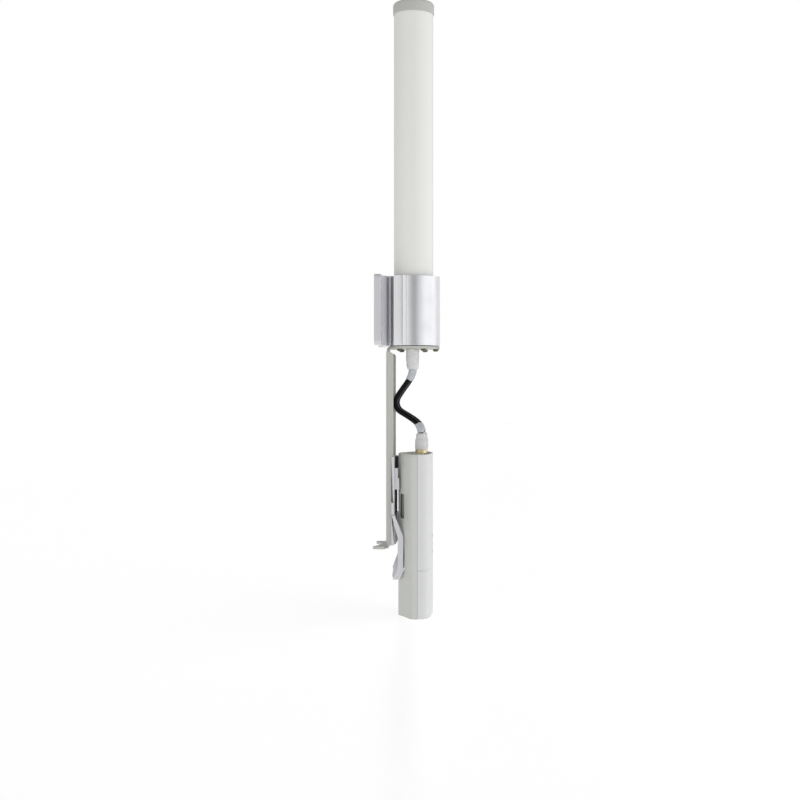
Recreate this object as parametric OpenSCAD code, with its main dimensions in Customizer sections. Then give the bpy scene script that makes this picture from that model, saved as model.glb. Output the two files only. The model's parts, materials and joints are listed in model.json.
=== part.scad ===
// Outdoor omnidirectional antenna on a bent steel arm, with two short coaxial
// jumpers and a box radio latched to the arm. Millimetres, +Z up. The origin is
// the centre of the four pole bolts, on the back face of the collar's flange.
// +X points to the front and -X to the pole; "_a" is the -Y side, "_b" the +Y side.

/* [Antenna] */
// Height of the aluminium collar
collar_h = 69; // [60:1:80]
// Outer diameter of the radome tube
radome_d = 39.3; // [38:0.1:39.5]
// Height of the cap's rim over the collar
radome_len = 261.5; // [220:0.5:300]
// Height of the cap, rim to flat top
cap_h = 11.8; // [10:0.1:13]
// Distance from the flange's back face to the tube's axis
axis_x = 36.5; // [36:0.1:38]

/* [Pole mount] */
// Spacing of the pole bolts across the pole
bolt_gap_y = 62; // [56:1:66]
// Spacing of the pole bolts along the pole
bolt_gap_z = 40; // [30:1:46]
// Diameter of the pole bolt holes
bolt_hole_d = 9; // [6.6:0.1:9]

/* [Arm] */
// Thickness of the arm's sheet steel
sheet_t = 2.5; // [2:0.1:2.5]
// Half of the channel's width
channel_half_w = 21; // [20.8:0.1:21]

/* [Radio] */
// Height of the radio box
radio_h = 160; // [158:1:162]
// Width of the radio box across Y
radio_w = 80; // [79:0.5:81]
// Thickness of the radio's shells
wall = 2; // [1.6:0.1:2.2]
// Height of the port door
door_h = 47; // [46:0.5:48]

/* [Jumpers] */
// Diameter of the jumper cables
cable_d = 5.2; // [4.8:0.1:5.2]
// Distance between the antenna's two jacks
antenna_jack_gap = 29; // [28:0.5:29]
// Distance between the radio's two jacks
radio_jack_gap = 44; // [43:0.5:45]

/* [Hidden] */
$fn = 64;
eps = 0.01;
gasket_t = 0.7;
barrel_r = 24.5;
bore_r = 19.8;
cap_r = 20.5;
cap_corner = 3;
cap_boss_h = 0.7;                      // raised disc on the cap
collar_top = collar_h / 2;
collar_bottom = -collar_h / 2;
plate_top = collar_bottom - gasket_t;
plate_bottom = plate_top - sheet_t;
rim_z = collar_top + radome_len;
tube_bottom = collar_bottom + 8.5;
tube_top = rim_z + 6;
screw_ring_r = 22.15;
screw_angles = [0, 61, -61, 125, -125];
radio_z = -301.4;                      // lower end of the radio
plug_seat = 2.3;                       // jack flange, under the arm's plate
plug_end = 17.2;                       // length of a plug, from its jack
plate_h = plate_bottom - radio_z;      // underside of the arm's plate over the radio's lower end
deck_h = radio_h - 8;                  // top of the radio's jack deck
jack_x = -0.9;                         // antenna jacks, from the tube's axis
radio_jack_x = 8.2;                    // radio jacks, from the tube's axis
seam_x = 5.6;                          // joint of the radio's two shells
channel_back = -26.3;
channel_front = -19;
mount_screw_h = [112, 140];
white = [0.86, 0.86, 0.84];
grey = [0.72, 0.73, 0.71];
metal = [0.8, 0.81, 0.83];
brass = [0.8, 0.66, 0.4];
milky = [0.88, 0.87, 0.86];

// Cable centreline from the antenna's plug to the radio's: distance from the tube's
// axis, share of the way from the antenna jack's Y to the radio jack's, height over
// the radio's plug. The heights are for route_drop, and stretch with the real drop.
route_drop = 66;
route = [[-0.9, 0, 66], [-0.9, 0, 63], [-2, 0, 59.2], [-4.2, 0, 54.9], [-6.9, 0, 50.7],
    [-9.9, 0, 46.6], [-13, 0, 42], [-15.7, 0.02, 37.8], [-16.8, 0.04, 35.1], [-17.2, 0.07, 32.3],
    [-16.7, 0.11, 29], [-15.25, 0.16, 26.1], [-13.3, 0.22, 24], [-11.8, 0.28, 22.95],
    [-5.6, 0.49, 19.2], [0.7, 0.71, 15], [4.7, 0.86, 11.4], [6.8, 0.95, 8.1], [7.85, 1, 4.9],
    [8.2, 1, 3.1], [8.2, 1, 0]];

function arc(c, r, a0, a1, n = 6) =
    [for (i = [0:n]) c + r * [cos(a0 + (a1 - a0) * i / n), sin(a0 + (a1 - a0) * i / n)]];
function mirrored(pts) =
    concat(pts, [for (i = [len(pts) - 1:-1:0]) [pts[i][0], -pts[i][1]]]);

// Radio outline in plan, drawn in by i: flat back, slanted rear sides, flat
// sides and a gently bowed front
front_r = 184;
front_x = 19.3;
front_corner = 6.2;
function radio_half(i) = concat(
    [[-14.5 + i, 13 - 0.24 * i]],
    [[-2.1 + 0.61 * i, radio_w / 2 - i - 2.6], [-0.9 + 0.61 * i, radio_w / 2 - i - 0.9],
     [0.9 + 0.61 * i, radio_w / 2 - i]],
    arc([9.3, radio_w / 2 - front_corner], front_corner - i, 90, 14, 6),
    [for (y = [27, 18, 9]) [front_x - i - y * y / (2 * front_r), y]]);
module radio_plan(i) polygon(mirrored(radio_half(i)));
module radio_block(i, h0, h1) translate([0, 0, h0]) linear_extrude(h1 - h0) radio_plan(i);

module box(lo, hi) translate(lo) cube(hi - lo);
module both_sides() { children(); mirror([0, 1, 0]) children(); }
module on_axis() translate([axis_x, 0, 0]) children();
module at_radio() translate([axis_x, 0, radio_z]) children();
// Outline in X and height, drawn out across Y between y0 and y1
module side_profile(pts, y0, y1)
    translate([0, y1, 0]) rotate([90, 0, 0]) linear_extrude(y1 - y0) polygon(pts);
module ring(r_in, r_out, z0, z1) translate([0, 0, z0]) difference() {
    cylinder(r = r_out, h = z1 - z0);
    translate([0, 0, -1]) cylinder(r = r_in, h = z1 - z0 + 2);
}
module hexagon(af, h) cylinder(r = af / sqrt(3), h = h, $fn = 6);

// ---- antenna ----
module radome_tube() color(white) on_axis() ring(radome_d / 2 - 2.2, radome_d / 2, tube_bottom, tube_top);

module top_cap() color([0.7, 0.7, 0.68]) on_axis() translate([0, 0, rim_z]) rotate_extrude()
    polygon(concat(
        [[radome_d / 2 + 0.1, 0]], arc([20.1, 0.4], 0.4, -90, 0, 3),
        arc([cap_r - cap_corner, cap_h - cap_corner], cap_corner, 0, 90, 6),
        [[9.9, cap_h], [9.3, cap_h + cap_boss_h], [0, cap_h + cap_boss_h]],
        [[0, cap_h - 2.2], [13, cap_h - 2.2], [13, 2], [15, 2], [15, 6.1], [radome_d / 2 + 0.1, 6.1]]));

module cap_seal() color([0.1, 0.1, 0.1]) on_axis() translate([0, 0, rim_z + 4])
    rotate_extrude() translate([16.2, 0]) circle(r = 1.15, $fn = 24);

module radiator_board() color([0.2, 0.4, 0.25]) on_axis()
    box([-0.8, -12, tube_bottom + 6], [0.8, 12, rim_z - 4]);

module dipole_elements() color([0.75, 0.45, 0.25]) on_axis()
    for (side = [-1, 1], i = [0:6]) translate([side * 0.95, 0, tube_bottom + 44 + 34 * i]) {
        translate([-0.15, -9, 0]) cube([0.3, 7, 22]);
        translate([-0.15, 2, 0]) cube([0.3, 7, 22]);
    }

module board_spacer(z) color([0.92, 0.92, 0.9]) on_axis() difference() {
    translate([0, 0, z]) cylinder(r = radome_d / 2 - 2.4, h = 5);
    box([-0.9, -12.2, z - 1], [0.9, 12.2, z + 6]);
}
module board_spacer_1() board_spacer(tube_bottom + 36);
module board_spacer_2() board_spacer(tube_bottom + 138);
module board_spacer_3() board_spacer(tube_bottom + 274);

module feed_coax(side) color([0.75, 0.6, 0.4]) on_axis() {
    y = side * antenna_jack_gap / 2;
    translate([jack_x, y, collar_bottom + 4]) cylinder(r = 1.1, h = 18, $fn = 24);
    translate([jack_x, y, collar_bottom + 22]) sphere(r = 1.1, $fn = 24);
    translate([jack_x, y, collar_bottom + 22]) rotate([side * 90, 0, 0]) cylinder(r = 1.1, h = 2.4, $fn = 24);
}
module feed_coax_a() feed_coax(-1);
module feed_coax_b() feed_coax(1);

module base_plug() color([0.85, 0.85, 0.83]) on_axis() difference() {
    translate([0, 0, collar_bottom]) cylinder(r = bore_r - 0.1, h = tube_bottom - collar_bottom);
    both_sides() translate([jack_x, antenna_jack_gap / 2, collar_bottom - 1]) cylinder(r = 4.9, h = 4.6);
    both_sides() translate([jack_x, antenna_jack_gap / 2, collar_bottom]) cylinder(r = 3.3, h = 12);
}

module base_extrusion() color(metal) on_axis() difference() {
    translate([0, 0, collar_bottom]) union() {
        cylinder(r = barrel_r, h = collar_h, $fn = 128);
        both_sides() {
            box([-18.6, 0, 0], [-5, 22.6, collar_h]);          // flat side
            box([-9.7, 0, 0], [-6.6, 25.4, collar_h]);         // bright rib
            box([-22.8, 0, 0], [-21.8, 20, collar_h]);         // thin fin
            box([-30.2, 0, 0], [-18, 12, collar_h]);           // neck to the flange
            linear_extrude(collar_h) polygon([[-24.8, 0], [-24.8, 12], [-26.2, 18], [-30, 22], [-30.2, 0]]);
        }
        box([20, -8, 0], [26.2, 8, collar_h]);                 // front pad
        translate([-axis_x, 0, 0]) rotate([90, 0, 90]) linear_extrude(6.5)
            polygon(concat(arc([38.5, 4.5], 4.5, -90, 0), arc([38.5, collar_h - 4.5], 4.5, 0, 90),
                arc([-38.5, collar_h - 4.5], 4.5, 90, 180), arc([-38.5, 4.5], 4.5, 180, 270)));
    }
    translate([0, 0, collar_bottom - 1]) cylinder(r = bore_r, h = collar_h + 2);
    translate([0, 0, collar_top - 3.1]) cylinder(r = bore_r + 1.1, h = 4);
    both_sides() {
        box([-10.4, 21.6, collar_bottom - 1], [-9.7, 26, collar_top + 1]);
        box([-6.6, 23, collar_bottom - 1], [-5.9, 26, collar_top + 1]);
        translate([0, 0, collar_bottom - 1]) linear_extrude(collar_h + 2)
            polygon([[-axis_x - 1, 0], [-axis_x - 1, 21.6], [-axis_x, 20.4], [-29.5, 0]]);
    }
    for (y = [-1, 1], z = [-1, 1])
        translate([-axis_x - 1, y * bolt_gap_y / 2, z * bolt_gap_z / 2]) rotate([0, 90, 0])
            cylinder(d = bolt_hole_d, h = 9);
    for (a = screw_angles) rotate(a) translate([screw_ring_r, 0, collar_bottom - 1])
        cylinder(r = 1.5, h = 13, $fn = 24);
}

module tube_seal() color([0.75, 0.75, 0.72]) on_axis()
    ring(radome_d / 2 + 0.05, bore_r + 1.05, collar_top - 3.1, collar_top - 0.4);

module plate_shape(h) {
    intersection() {
        cylinder(r = 24.8, h = h, $fn = 96);
        box([-22.8, -30, -1], [30, 30, h + 1]);
    }
    box([20, -8, 0], [25.9, 8, h]);
}
module plate_holes(h) {
    for (a = screw_angles) rotate(a) translate([screw_ring_r, 0, -1]) cylinder(r = 1.65, h = h + 2, $fn = 24);
    both_sides() translate([jack_x, antenna_jack_gap / 2, -1]) cylinder(r = 3.3, h = h + 2);
}
module base_gasket() color([0.25, 0.25, 0.25]) on_axis() translate([0, 0, plate_top]) difference() {
    cylinder(r = 23.9, h = gasket_t, $fn = 96);
    plate_holes(gasket_t);
}

module prong_plate_shape() {
    tip = -39;
    polygon(mirrored(concat([[tip + 8.2, 0]], arc([tip + 3.2, 23.7], 3.2, 235, 90, 8),
        arc([-28.5, 25.4], 1.5, 90, 0, 4),
        [[-27, channel_half_w - 1.5], [channel_back + 2, channel_half_w - 3]])));
}
module bracket_arm() color(grey) at_radio() difference() {
    union() {
        translate([0, 0, plate_h]) plate_shape(sheet_t);
        // bend from the plate into the neck, one side profile for the neck and the web
        side_profile(concat([[-20, plate_h + sheet_t]],
            arc([channel_back + 3, plate_h + sheet_t - 3], 3, 90, 180),
            [[channel_back, plate_h - 4], [channel_back + sheet_t, plate_h - 4],
             [channel_back + sheet_t, plate_h], [-20, plate_h]]), -8, 8);
        difference() {
            translate([0, 0, 66.5]) linear_extrude(plate_h - 2.6 - 66.5) polygon(mirrored(concat(
                [[channel_back + sheet_t, 0], [channel_back + sheet_t, channel_half_w - 3.2]],
                [[channel_back + 3.2, channel_half_w - sheet_t], [channel_front, channel_half_w - sheet_t]],
                [[channel_front, channel_half_w]], arc([channel_back + 3, channel_half_w - 3], 3, 90, 180, 6),
                [[channel_back, 0]])));
            // rounded top corner of the flanges
            translate([0, 30, 0]) rotate([90, 0, 0]) linear_extrude(60) polygon(concat(
                arc([channel_front - 3, plate_h - 6.8], 3, 90, 0),
                [[channel_front + 2, plate_h - 7], [channel_front + 2, plate_h],
                 [channel_front - 4, plate_h], [channel_front - 4, plate_h - 3.8]]));
            // clearance below the web for the bend of the prong plate
            translate([0, 30, 0]) rotate([90, 0, 0]) linear_extrude(60) polygon(concat(
                arc([channel_back + sheet_t - 3.2, 66.5 + 3.2], 3.2, 0, -90),
                [[channel_back, 60], [-10, 60], [-10, 69.7]]));
        }
        translate([0, 0, 66.5]) linear_extrude(sheet_t) prong_plate_shape();
    }
    translate([0, 0, plate_h]) plate_holes(sheet_t);
    for (h = mount_screw_h) translate([channel_back, 0, h]) rotate([0, 90, 0]) {
        translate([0, 0, -1]) cylinder(r = 1.7, h = 5, $fn = 32);
        translate([0, 0, -eps]) cylinder(r1 = 3.35, r2 = 1.7, h = 1.65, $fn = 32);
    }
}

module base_screws() color(metal) on_axis()
    for (a = screw_angles) rotate(a) translate([screw_ring_r, 0, plate_bottom]) {
        difference() {
            translate([0, 0, -2.3]) cylinder(r = 2.9, h = 2.3, $fn = 32);
            translate([0, 0, -2.4]) cylinder(r = 1.2, h = 1.3, $fn = 6);
        }
        cylinder(r = 1.45, h = sheet_t + gasket_t + 10, $fn = 24);
    }

module antenna_jack(side) color(brass) at_radio() translate([jack_x, side * antenna_jack_gap / 2, plate_h]) {
    translate([0, 0, -2]) hexagon(8, 2);
    translate([0, 0, -9.5]) cylinder(r = 3.15, h = 9.5);
    cylinder(r = 3.15, h = sheet_t + gasket_t + 4);
}
module antenna_jack_a() antenna_jack(-1);
module antenna_jack_b() antenna_jack(1);
module jack_nuts() color(brass) on_axis() both_sides()
    translate([jack_x, antenna_jack_gap / 2, collar_bottom]) difference() {
        hexagon(8, 2.4);
        translate([0, 0, -1]) cylinder(r = 3.15, h = 5);
    }

// ---- jumpers: each end is a coupling nut, a plug, a boot and a sleeve ----
// Coordinates from the mating plate, drawn with the cable leaving towards +Z
module nut_shape(af, hex_h) difference() {
    union() {
        hexagon(af, hex_h);
        translate([0, 0, hex_h - eps]) cylinder(r = 4.1, h = 9 - hex_h);
    }
    translate([0, 0, -1]) cylinder(r = 3.2, h = 8.2);
    cylinder(r = 3.06, h = 20);
}
module plug_shape() union() {
    cylinder(r = 3, h = 6.4);
    translate([0, 0, 6.4 - eps]) cylinder(r = 3.7, h = plug_end - 14 + eps);
}
module upper_frame(side) at_radio()
    translate([jack_x, side * antenna_jack_gap / 2, plate_h - plug_seat]) mirror([0, 0, 1]) children();
module lower_frame(side) at_radio()
    translate([radio_jack_x, side * radio_jack_gap / 2, radio_h + 1]) children();
module upper_nut(side) color(brass) upper_frame(side) nut_shape(8.2, 4.8);
module lower_nut(side) color(brass) lower_frame(side) nut_shape(9.6, 3.3);
module upper_nut_a() upper_nut(-1);
module upper_nut_b() upper_nut(1);
module lower_nut_a() lower_nut(-1);
module lower_nut_b() lower_nut(1);
// The plug's tail ends where the cable's jacket begins
module upper_plug(side) color(metal) upper_frame(side) translate([0, 0, 7.6]) plug_shape();
module lower_plug(side) color(metal) lower_frame(side) translate([0, 0, 7.6]) plug_shape();
module upper_plug_a() upper_plug(-1);
module upper_plug_b() upper_plug(1);
module lower_plug_a() lower_plug(-1);
module lower_plug_b() lower_plug(1);

module upper_boot(side) color(milky) upper_frame(side) difference() {
    union() {
        translate([0, 0, -2]) cylinder(r = 5.9, h = 12.3);
        translate([0, 0, 10.3 - eps]) cylinder(r = 5.4, h = 4.9);
        translate([0, 0, 15.2 - 2 * eps]) cylinder(r1 = 5.4, r2 = 4.3, h = 2.8);
    }
    translate([0, 0, -3]) cylinder(r = 5.02, h = 8);
    translate([0, 0, 4.9]) cylinder(r = 4.5, h = 4.4);
    cylinder(r = 3.7, h = 30);
}
module lower_boot(side) color(milky) lower_frame(side) difference() {
    union() {
        translate([0, 0, 3.6]) cylinder(r = 5.65, h = 9.6);
        translate([0, 0, 13.2 - eps]) cylinder(r1 = 5, r2 = 4.7, h = 4.8);
        translate([0, 0, 18 - 2 * eps]) cylinder(r1 = 4.7, r2 = 3.8, h = 1.4);
    }
    translate([0, 0, -1]) cylinder(r = 5.02, h = 6);
    translate([0, 0, 4.9]) cylinder(r = 4.5, h = 4.7);
    translate([0, 0, 4]) cylinder(r = 3.7, h = 14.2);
    cylinder(r = 3.1, h = 30);
}
module upper_boot_a() upper_boot(-1);
module upper_boot_b() upper_boot(1);
module lower_boot_a() lower_boot(-1);
module lower_boot_b() lower_boot(1);

// The route's points in the part's own frame
upper_end_z = plate_bottom - plug_seat - plug_end;
lower_end_z = radio_z + radio_h + 1 + plug_end;
function at_route(side, i) = [axis_x + route[i][0],
    side * (antenna_jack_gap + route[i][1] * (radio_jack_gap - antenna_jack_gap)) / 2,
    lower_end_z + route[i][2] * (upper_end_z - lower_end_z) / route_drop];
function centreline(side) = [for (i = [0:len(route) - 1]) at_route(side, i)];
function unit(v) = v / norm(v);
function heading(p, i) = unit(p[min(len(p) - 1, i + 1)] - p[max(0, i - 1)]);
module swept(p, radii, sides = 10) {
    n = len(p);
    points = [for (i = [0:n - 1]) let (t = heading(p, i), u = unit(cross([0, 1, 0], t)), v = cross(t, u))
        for (k = [0:sides - 1]) p[i] + radii[i] * (u * cos(360 * k / sides) + v * sin(360 * k / sides))];
    walls = [for (i = [0:n - 2], k = [0:sides - 1]) let (a = i * sides + k, b = i * sides + (k + 1) % sides)
        each [[a, a + sides, b], [b, a + sides, b + sides]]];
    caps = [[for (k = [0:sides - 1]) k], [for (k = [sides - 1:-1:0]) (n - 1) * sides + k]];
    polyhedron(points, concat(walls, caps));
}
module jumper_cable(side) color([0.08, 0.08, 0.08]) {
    p = centreline(side);
    swept(p, [for (q = p) cable_d / 2]);
}
module jumper_cable_a() jumper_cable(-1);
module jumper_cable_b() jumper_cable(1);

// A sleeve is a tapered tube round the cable, between two of its ring numbers
module sleeve(side, first, last, r_first, r_last) color([0.8, 0.83, 0.88]) {
    p = centreline(side);
    part = [for (i = [first:last]) p[i]];
    n = len(part);
    radii = [for (i = [0:n - 1]) r_first + (r_last - r_first) * i / (n - 1)];
    difference() {
        swept(part, radii, 16);
        ends = concat([part[0] - heading(part, 0)], [for (i = [1:n - 2]) part[i]],
            [part[n - 1] + heading(part, n - 1)]);
        swept(ends, [for (q = ends) cable_d / 2 + 0.05], 16);
    }
}
module upper_sleeve_a() sleeve(-1, 0, 3, 3.5, 2.95);
module upper_sleeve_b() sleeve(1, 0, 3, 3.5, 2.95);
module lower_sleeve_a() sleeve(-1, 16, 19, 2.95, 3.5);
module lower_sleeve_b() sleeve(1, 16, 19, 2.95, 3.5);

// ---- quick mount and latch ----
module quick_mount() color([0.78, 0.78, 0.8]) at_radio() difference() {
    union() {
        box([-23.7, -17.6, 70.5], [-17.9, 17.6, 157]);
        box([-23.7, -17.5, 70.5], [-16.9, 17.5, 99]);
        box([-18.95, -23.3, 70.5], [-17.9, 23.3, 157]);
        both_sides() {
            box([-20.9, 21.25, 70.5], [-17.9, 23.3, 157]);                       // skirt round the channel
            box([-20.6, 23.2, 100.3], [-17.9, 26.6, 112]);                       // ear of the latch's hinge
            box([-18, 14.5, 136], [-14.5, 21.5, 145.8]);                         // hook's stem
            box([-18, 14.5, 124.8], [-13.2, 21.5, 136]);                         // hook's head
        }
    }
    for (h = mount_screw_h) translate([-30, 0, h]) rotate([0, 90, 0]) cylinder(r = 1.55, h = 20, $fn = 32);
}
module mount_pad() color([0.08, 0.08, 0.08]) at_radio() difference() {
    union() {
        box([-17.9, -12, 100], [-16.9, 12, 157]);
        box([-17.9, -12, 145.8], [-14.9, 12, 157]);
    }
    for (h = mount_screw_h) translate([-30, 0, h]) rotate([0, 90, 0]) cylinder(r = 2, h = 20, $fn = 32);
}
module mount_screws() color(metal) at_radio()
    for (h = mount_screw_h) translate([channel_back + 0.1, 0, h]) rotate([0, 90, 0]) difference() {
        union() {
            cylinder(r1 = 3.2, r2 = 1.5, h = 1.7, $fn = 32);
            cylinder(r = 1.5, h = 8.1, $fn = 32);
        }
        translate([0, 0, -0.1]) cylinder(r = 1.1, h = 1.1, $fn = 6);
    }

latch_profile = [[-20.4, 99.7], [-17.3, 99.7], [-8.9, 79.2], [-8.9, 45.5], [-13.5, 36.7],
    [-19.4, 36.7], [-14.4, 46.5], [-14.4, 78]];
module latch() color([0.78, 0.78, 0.8]) at_radio() {
    both_sides() side_profile(latch_profile, 23.6, 26.6);
    side_profile([[-14.4, 62], [-12.2, 62], [-12.2, 46.5], [-16.7, 36.7], [-19.4, 36.7], [-14.4, 46.5]],
        -24, 24);
    // thumb rib behind the cross plate
    side_profile([[-14.2, 62], [-15.4, 61], [-20.3, 47.8], [-19.7, 45.8], [-20.7, 38.9],
        [-20, 36.7], [-19, 36.7], [-14.2, 46.5]], -14, 14);
    // nose that catches in the radio's back
    side_profile([[-12.3, 58], [-6.4, 52.5], [-6.4, 49.5], [-12.3, 49.5]], -9, 9);
}

// ---- radio ----
pocket = [[-20, 97], [-14.5, 93.5], [-7.8, 79.8], [-7.8, 46], [-14.4, 33.4], [-20, 33.4]];
pocket_wall = [[-20, 99], [-13, 95.4], [-5.8, 80.6], [-5.8, 45.4], [-12.4, 31.4], [-20, 31.4]];
slot_h = [96.4, 120.8];
module strap_slot(x0, x1, y0, y1) side_profile(concat(arc([x1 - 1.1, slot_h[1] - 1.1], 1.1, 0, 90, 4),
    arc([x0 + 1.1, slot_h[1] - 1.1], 1.1, 90, 180, 4), arc([x0 + 1.1, slot_h[0] + 1.1], 1.1, 180, 270, 4),
    arc([x1 - 1.1, slot_h[0] + 1.1], 1.1, 270, 360, 4)), y0, y1);
// Fine line round the rear shell, left by its mould
module rear_line(h, line_w, depth) translate([0, 0, h]) linear_extrude(line_w) difference() {
    translate([-20, -50]) square([20 + seam_x + 1, 100]);
    radio_plan(depth);
}
module radio_hollow() union() {
    radio_block(wall, wall, deck_h - wall);
    radio_block(wall, deck_h, radio_h + 1);
}
module radio_rear_shell() color(grey) at_radio() difference() {
    union() {
        difference() {
            radio_block(0, 0, radio_h);
            radio_hollow();
            box([seam_x, -50, -1], [30, 50, radio_h + 1]);
            box([1.6, -10, -1], [7, 10, wall + 1]);                     // room for the network plug
            both_sides() box([2.2, radio_w / 2 - 4.1, -1], [7, radio_w / 2 - 2, wall + 1]);   // door rails
        }
        // jack deck, inside the front shell's rim
        intersection() {
            radio_block(wall + 0.2, deck_h - wall, deck_h);
            box([seam_x - 1, -50, 0], [30, 50, radio_h]);
        }
        intersection() {
            radio_block(1, 1, radio_h - 1);
            union() {
                side_profile(pocket_wall, -28.5, 28.5);
                box([-14, -40, slot_h[0] - 2], [-5.9, 40, slot_h[1] + 2]);
                both_sides() box([-14, 11.5, 121], [-10.6, 24, 150.5]);
                box([-14, -11.5, 45.5], [-3.9, 11.5, 60]);
            }
        }
    }
    side_profile(pocket, -27.3, 27.3);
    // strap slot, bent towards the back between the shell's slanted sides
    both_sides() strap_slot(-12.2, -8.2, 8.9, 41);
    strap_slot(-13.2, -10.9, -9, 9);
    rear_line(radio_h - 1.8, 0.5, 0.4);
    for (h = [148, 126, 93, 71.5]) rear_line(h, 0.25, 0.12);
    both_sides() box([-16, 12.3, 123], [-12.4, 22.4, 148.5]);           // hook pocket
    box([-12, -10, 47.5], [-5.8, 10, 58.5]);                            // catch for the latch's nose
    both_sides() translate([radio_jack_x, radio_jack_gap / 2, deck_h - 4]) cylinder(r = 3.3, h = 8);
}
module radio_front_shell() color(white) at_radio() difference() {
    union() {
        difference() {
            radio_block(0, door_h + 0.2, radio_h);
            radio_block(wall, door_h - 2, radio_h + 1);
        }
        // floor of the shell, above the port bay
        difference() {
            radio_block(1, door_h + 0.2, door_h + 2);
            box([-20, -50, 0], [8.4, 50, 100]);
        }
    }
    box([-30, -50, -1], [seam_x + 0.15, 50, radio_h + 1]);
    box([front_x - 1.1, -14, 61], [30, 14, 72]);                                   // shallow dish
    for (i = [-3:3]) light_pipe_shape(i, 0.05);
}
module light_pipe_shape(i, grow)
    translate([15, i * 5, 78]) rotate([0, 90, 0])
        cylinder(r = 1.1 + grow, h = front_x - 15 - i * i * 25 / (2 * front_r), $fn = 24);
module light_pipes() color([0.8, 0.85, 0.85]) at_radio() for (i = [-3:3]) light_pipe_shape(i, 0);

module shell_gasket() color([0.15, 0.15, 0.15]) at_radio() difference() {
    radio_block(wall + 0.05, door_h + 2.2, deck_h - wall - 0.05);
    radio_block(wall + 1.6, door_h + 3.8, deck_h);
    box([-30, -50, -1], [seam_x - 1, 50, radio_h]);
    box([seam_x + 1, -50, -1], [30, 50, radio_h]);
}
board_holes = [[-28, 24], [28, 24], [-28, 140], [28, 140]];
module radio_board() color([0.15, 0.35, 0.2]) at_radio() difference() {
    box([0.4, -31, 10], [2, 31, 146]);
    for (p = board_holes) translate([0, p[0], p[1]]) rotate([0, 90, 0]) cylinder(r = 1.6, h = 5, $fn = 24);
}
module board_screws() color(metal) at_radio()
    for (p = board_holes) translate([2, p[0], p[1]]) rotate([0, 90, 0]) {
        cylinder(r = 2.7, h = 1.8, $fn = 32);
        translate([0, 0, -3]) cylinder(r = 1.5, h = 3.1, $fn = 24);
    }
module shield_can() color(metal) at_radio() difference() {
    box([2, -22, 84], [6.5, 22, 132]);
    box([1, -21.6, 84.4], [6.1, 21.6, 131.6]);
}
module heat_spreader() color([0.6, 0.6, 0.62]) at_radio() box([-3.4, -22, 84], [0.4, 22, 132]);

module pigtail(side) color([0.3, 0.3, 0.3]) at_radio()
    translate([radio_jack_x, side * radio_jack_gap / 2, 135]) {
        cylinder(r = 0.9, h = 11, $fn = 24);
        sphere(r = 0.9, $fn = 24);
        rotate([0, -90, 0]) cylinder(r = 0.9, h = radio_jack_x - 2, $fn = 24);
    }
module pigtail_a() pigtail(-1);
module pigtail_b() pigtail(1);
module radio_jack(side) color(brass) at_radio()
    translate([radio_jack_x, side * radio_jack_gap / 2, deck_h]) {
        hexagon(8.4, 2.4);
        cylinder(r = 3.15, h = 16);
        translate([0, 0, -6]) cylinder(r = 3.15, h = 7);
    }
module radio_jack_a() radio_jack(-1);
module radio_jack_b() radio_jack(1);

module ethernet_jack() color(metal) at_radio() difference() {
    box([2, -8, 17], [15.4, 8, 38]);
    box([3.6, -5.9, 16], [12.2, 5.9, 34]);
    box([12, -3.2, 16], [14, 3.2, 34]);
}
module reset_switch() color([0.2, 0.2, 0.2]) at_radio() difference() {
    box([2, 11, 20], [9, 18, 26]);
    translate([5.5, 14.5, 19]) cylinder(r = 1.75, h = 6, $fn = 32);
}
module reset_button() color([0.7, 0.2, 0.15]) at_radio() translate([5.5, 14.5, 18])
    cylinder(r = 1.7, h = 5.8, $fn = 32);

module port_door() color(white) at_radio() {
    difference() {
        radio_block(0, 0, door_h);
        radio_block(wall, wall, door_h + 1);
        box([-30, -50, -1], [seam_x + 0.15, 50, door_h + 1]);
        box([5, -4, -1], [12.6, 4, wall + 1]);                                    // cable notch
    }
    // rails that slide in the rear shell's sides
    both_sides() {
        box([seam_x + 0.4, radio_w / 2 - 3.8, 4], [9, radio_w / 2 - 1.5, door_h - 3]);
        box([2.6, radio_w / 2 - 3.8, 4], [9, radio_w / 2 - 2.3, door_h - 3]);
    }
}

radome_tube();
top_cap();
cap_seal();
radiator_board();
dipole_elements();
board_spacer_1();
board_spacer_2();
board_spacer_3();
feed_coax_a();
feed_coax_b();
base_plug();
base_extrusion();
tube_seal();
base_gasket();
bracket_arm();
base_screws();
antenna_jack_a();
antenna_jack_b();
jack_nuts();
jumper_cable_a();
jumper_cable_b();
upper_nut_a();
upper_nut_b();
lower_nut_a();
lower_nut_b();
upper_plug_a();
upper_plug_b();
lower_plug_a();
lower_plug_b();
upper_boot_a();
upper_boot_b();
lower_boot_a();
lower_boot_b();
upper_sleeve_a();
upper_sleeve_b();
lower_sleeve_a();
lower_sleeve_b();
quick_mount();
mount_pad();
mount_screws();
latch();
radio_rear_shell();
radio_front_shell();
shell_gasket();
radio_board();
board_screws();
shield_can();
heat_spreader();
pigtail_a();
pigtail_b();
radio_jack_a();
radio_jack_b();
ethernet_jack();
port_door();
reset_switch();
reset_button();
light_pipes();
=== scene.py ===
"""An outdoor omnidirectional antenna with its arm, jumpers and radio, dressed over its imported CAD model."""

import json
import math

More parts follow.
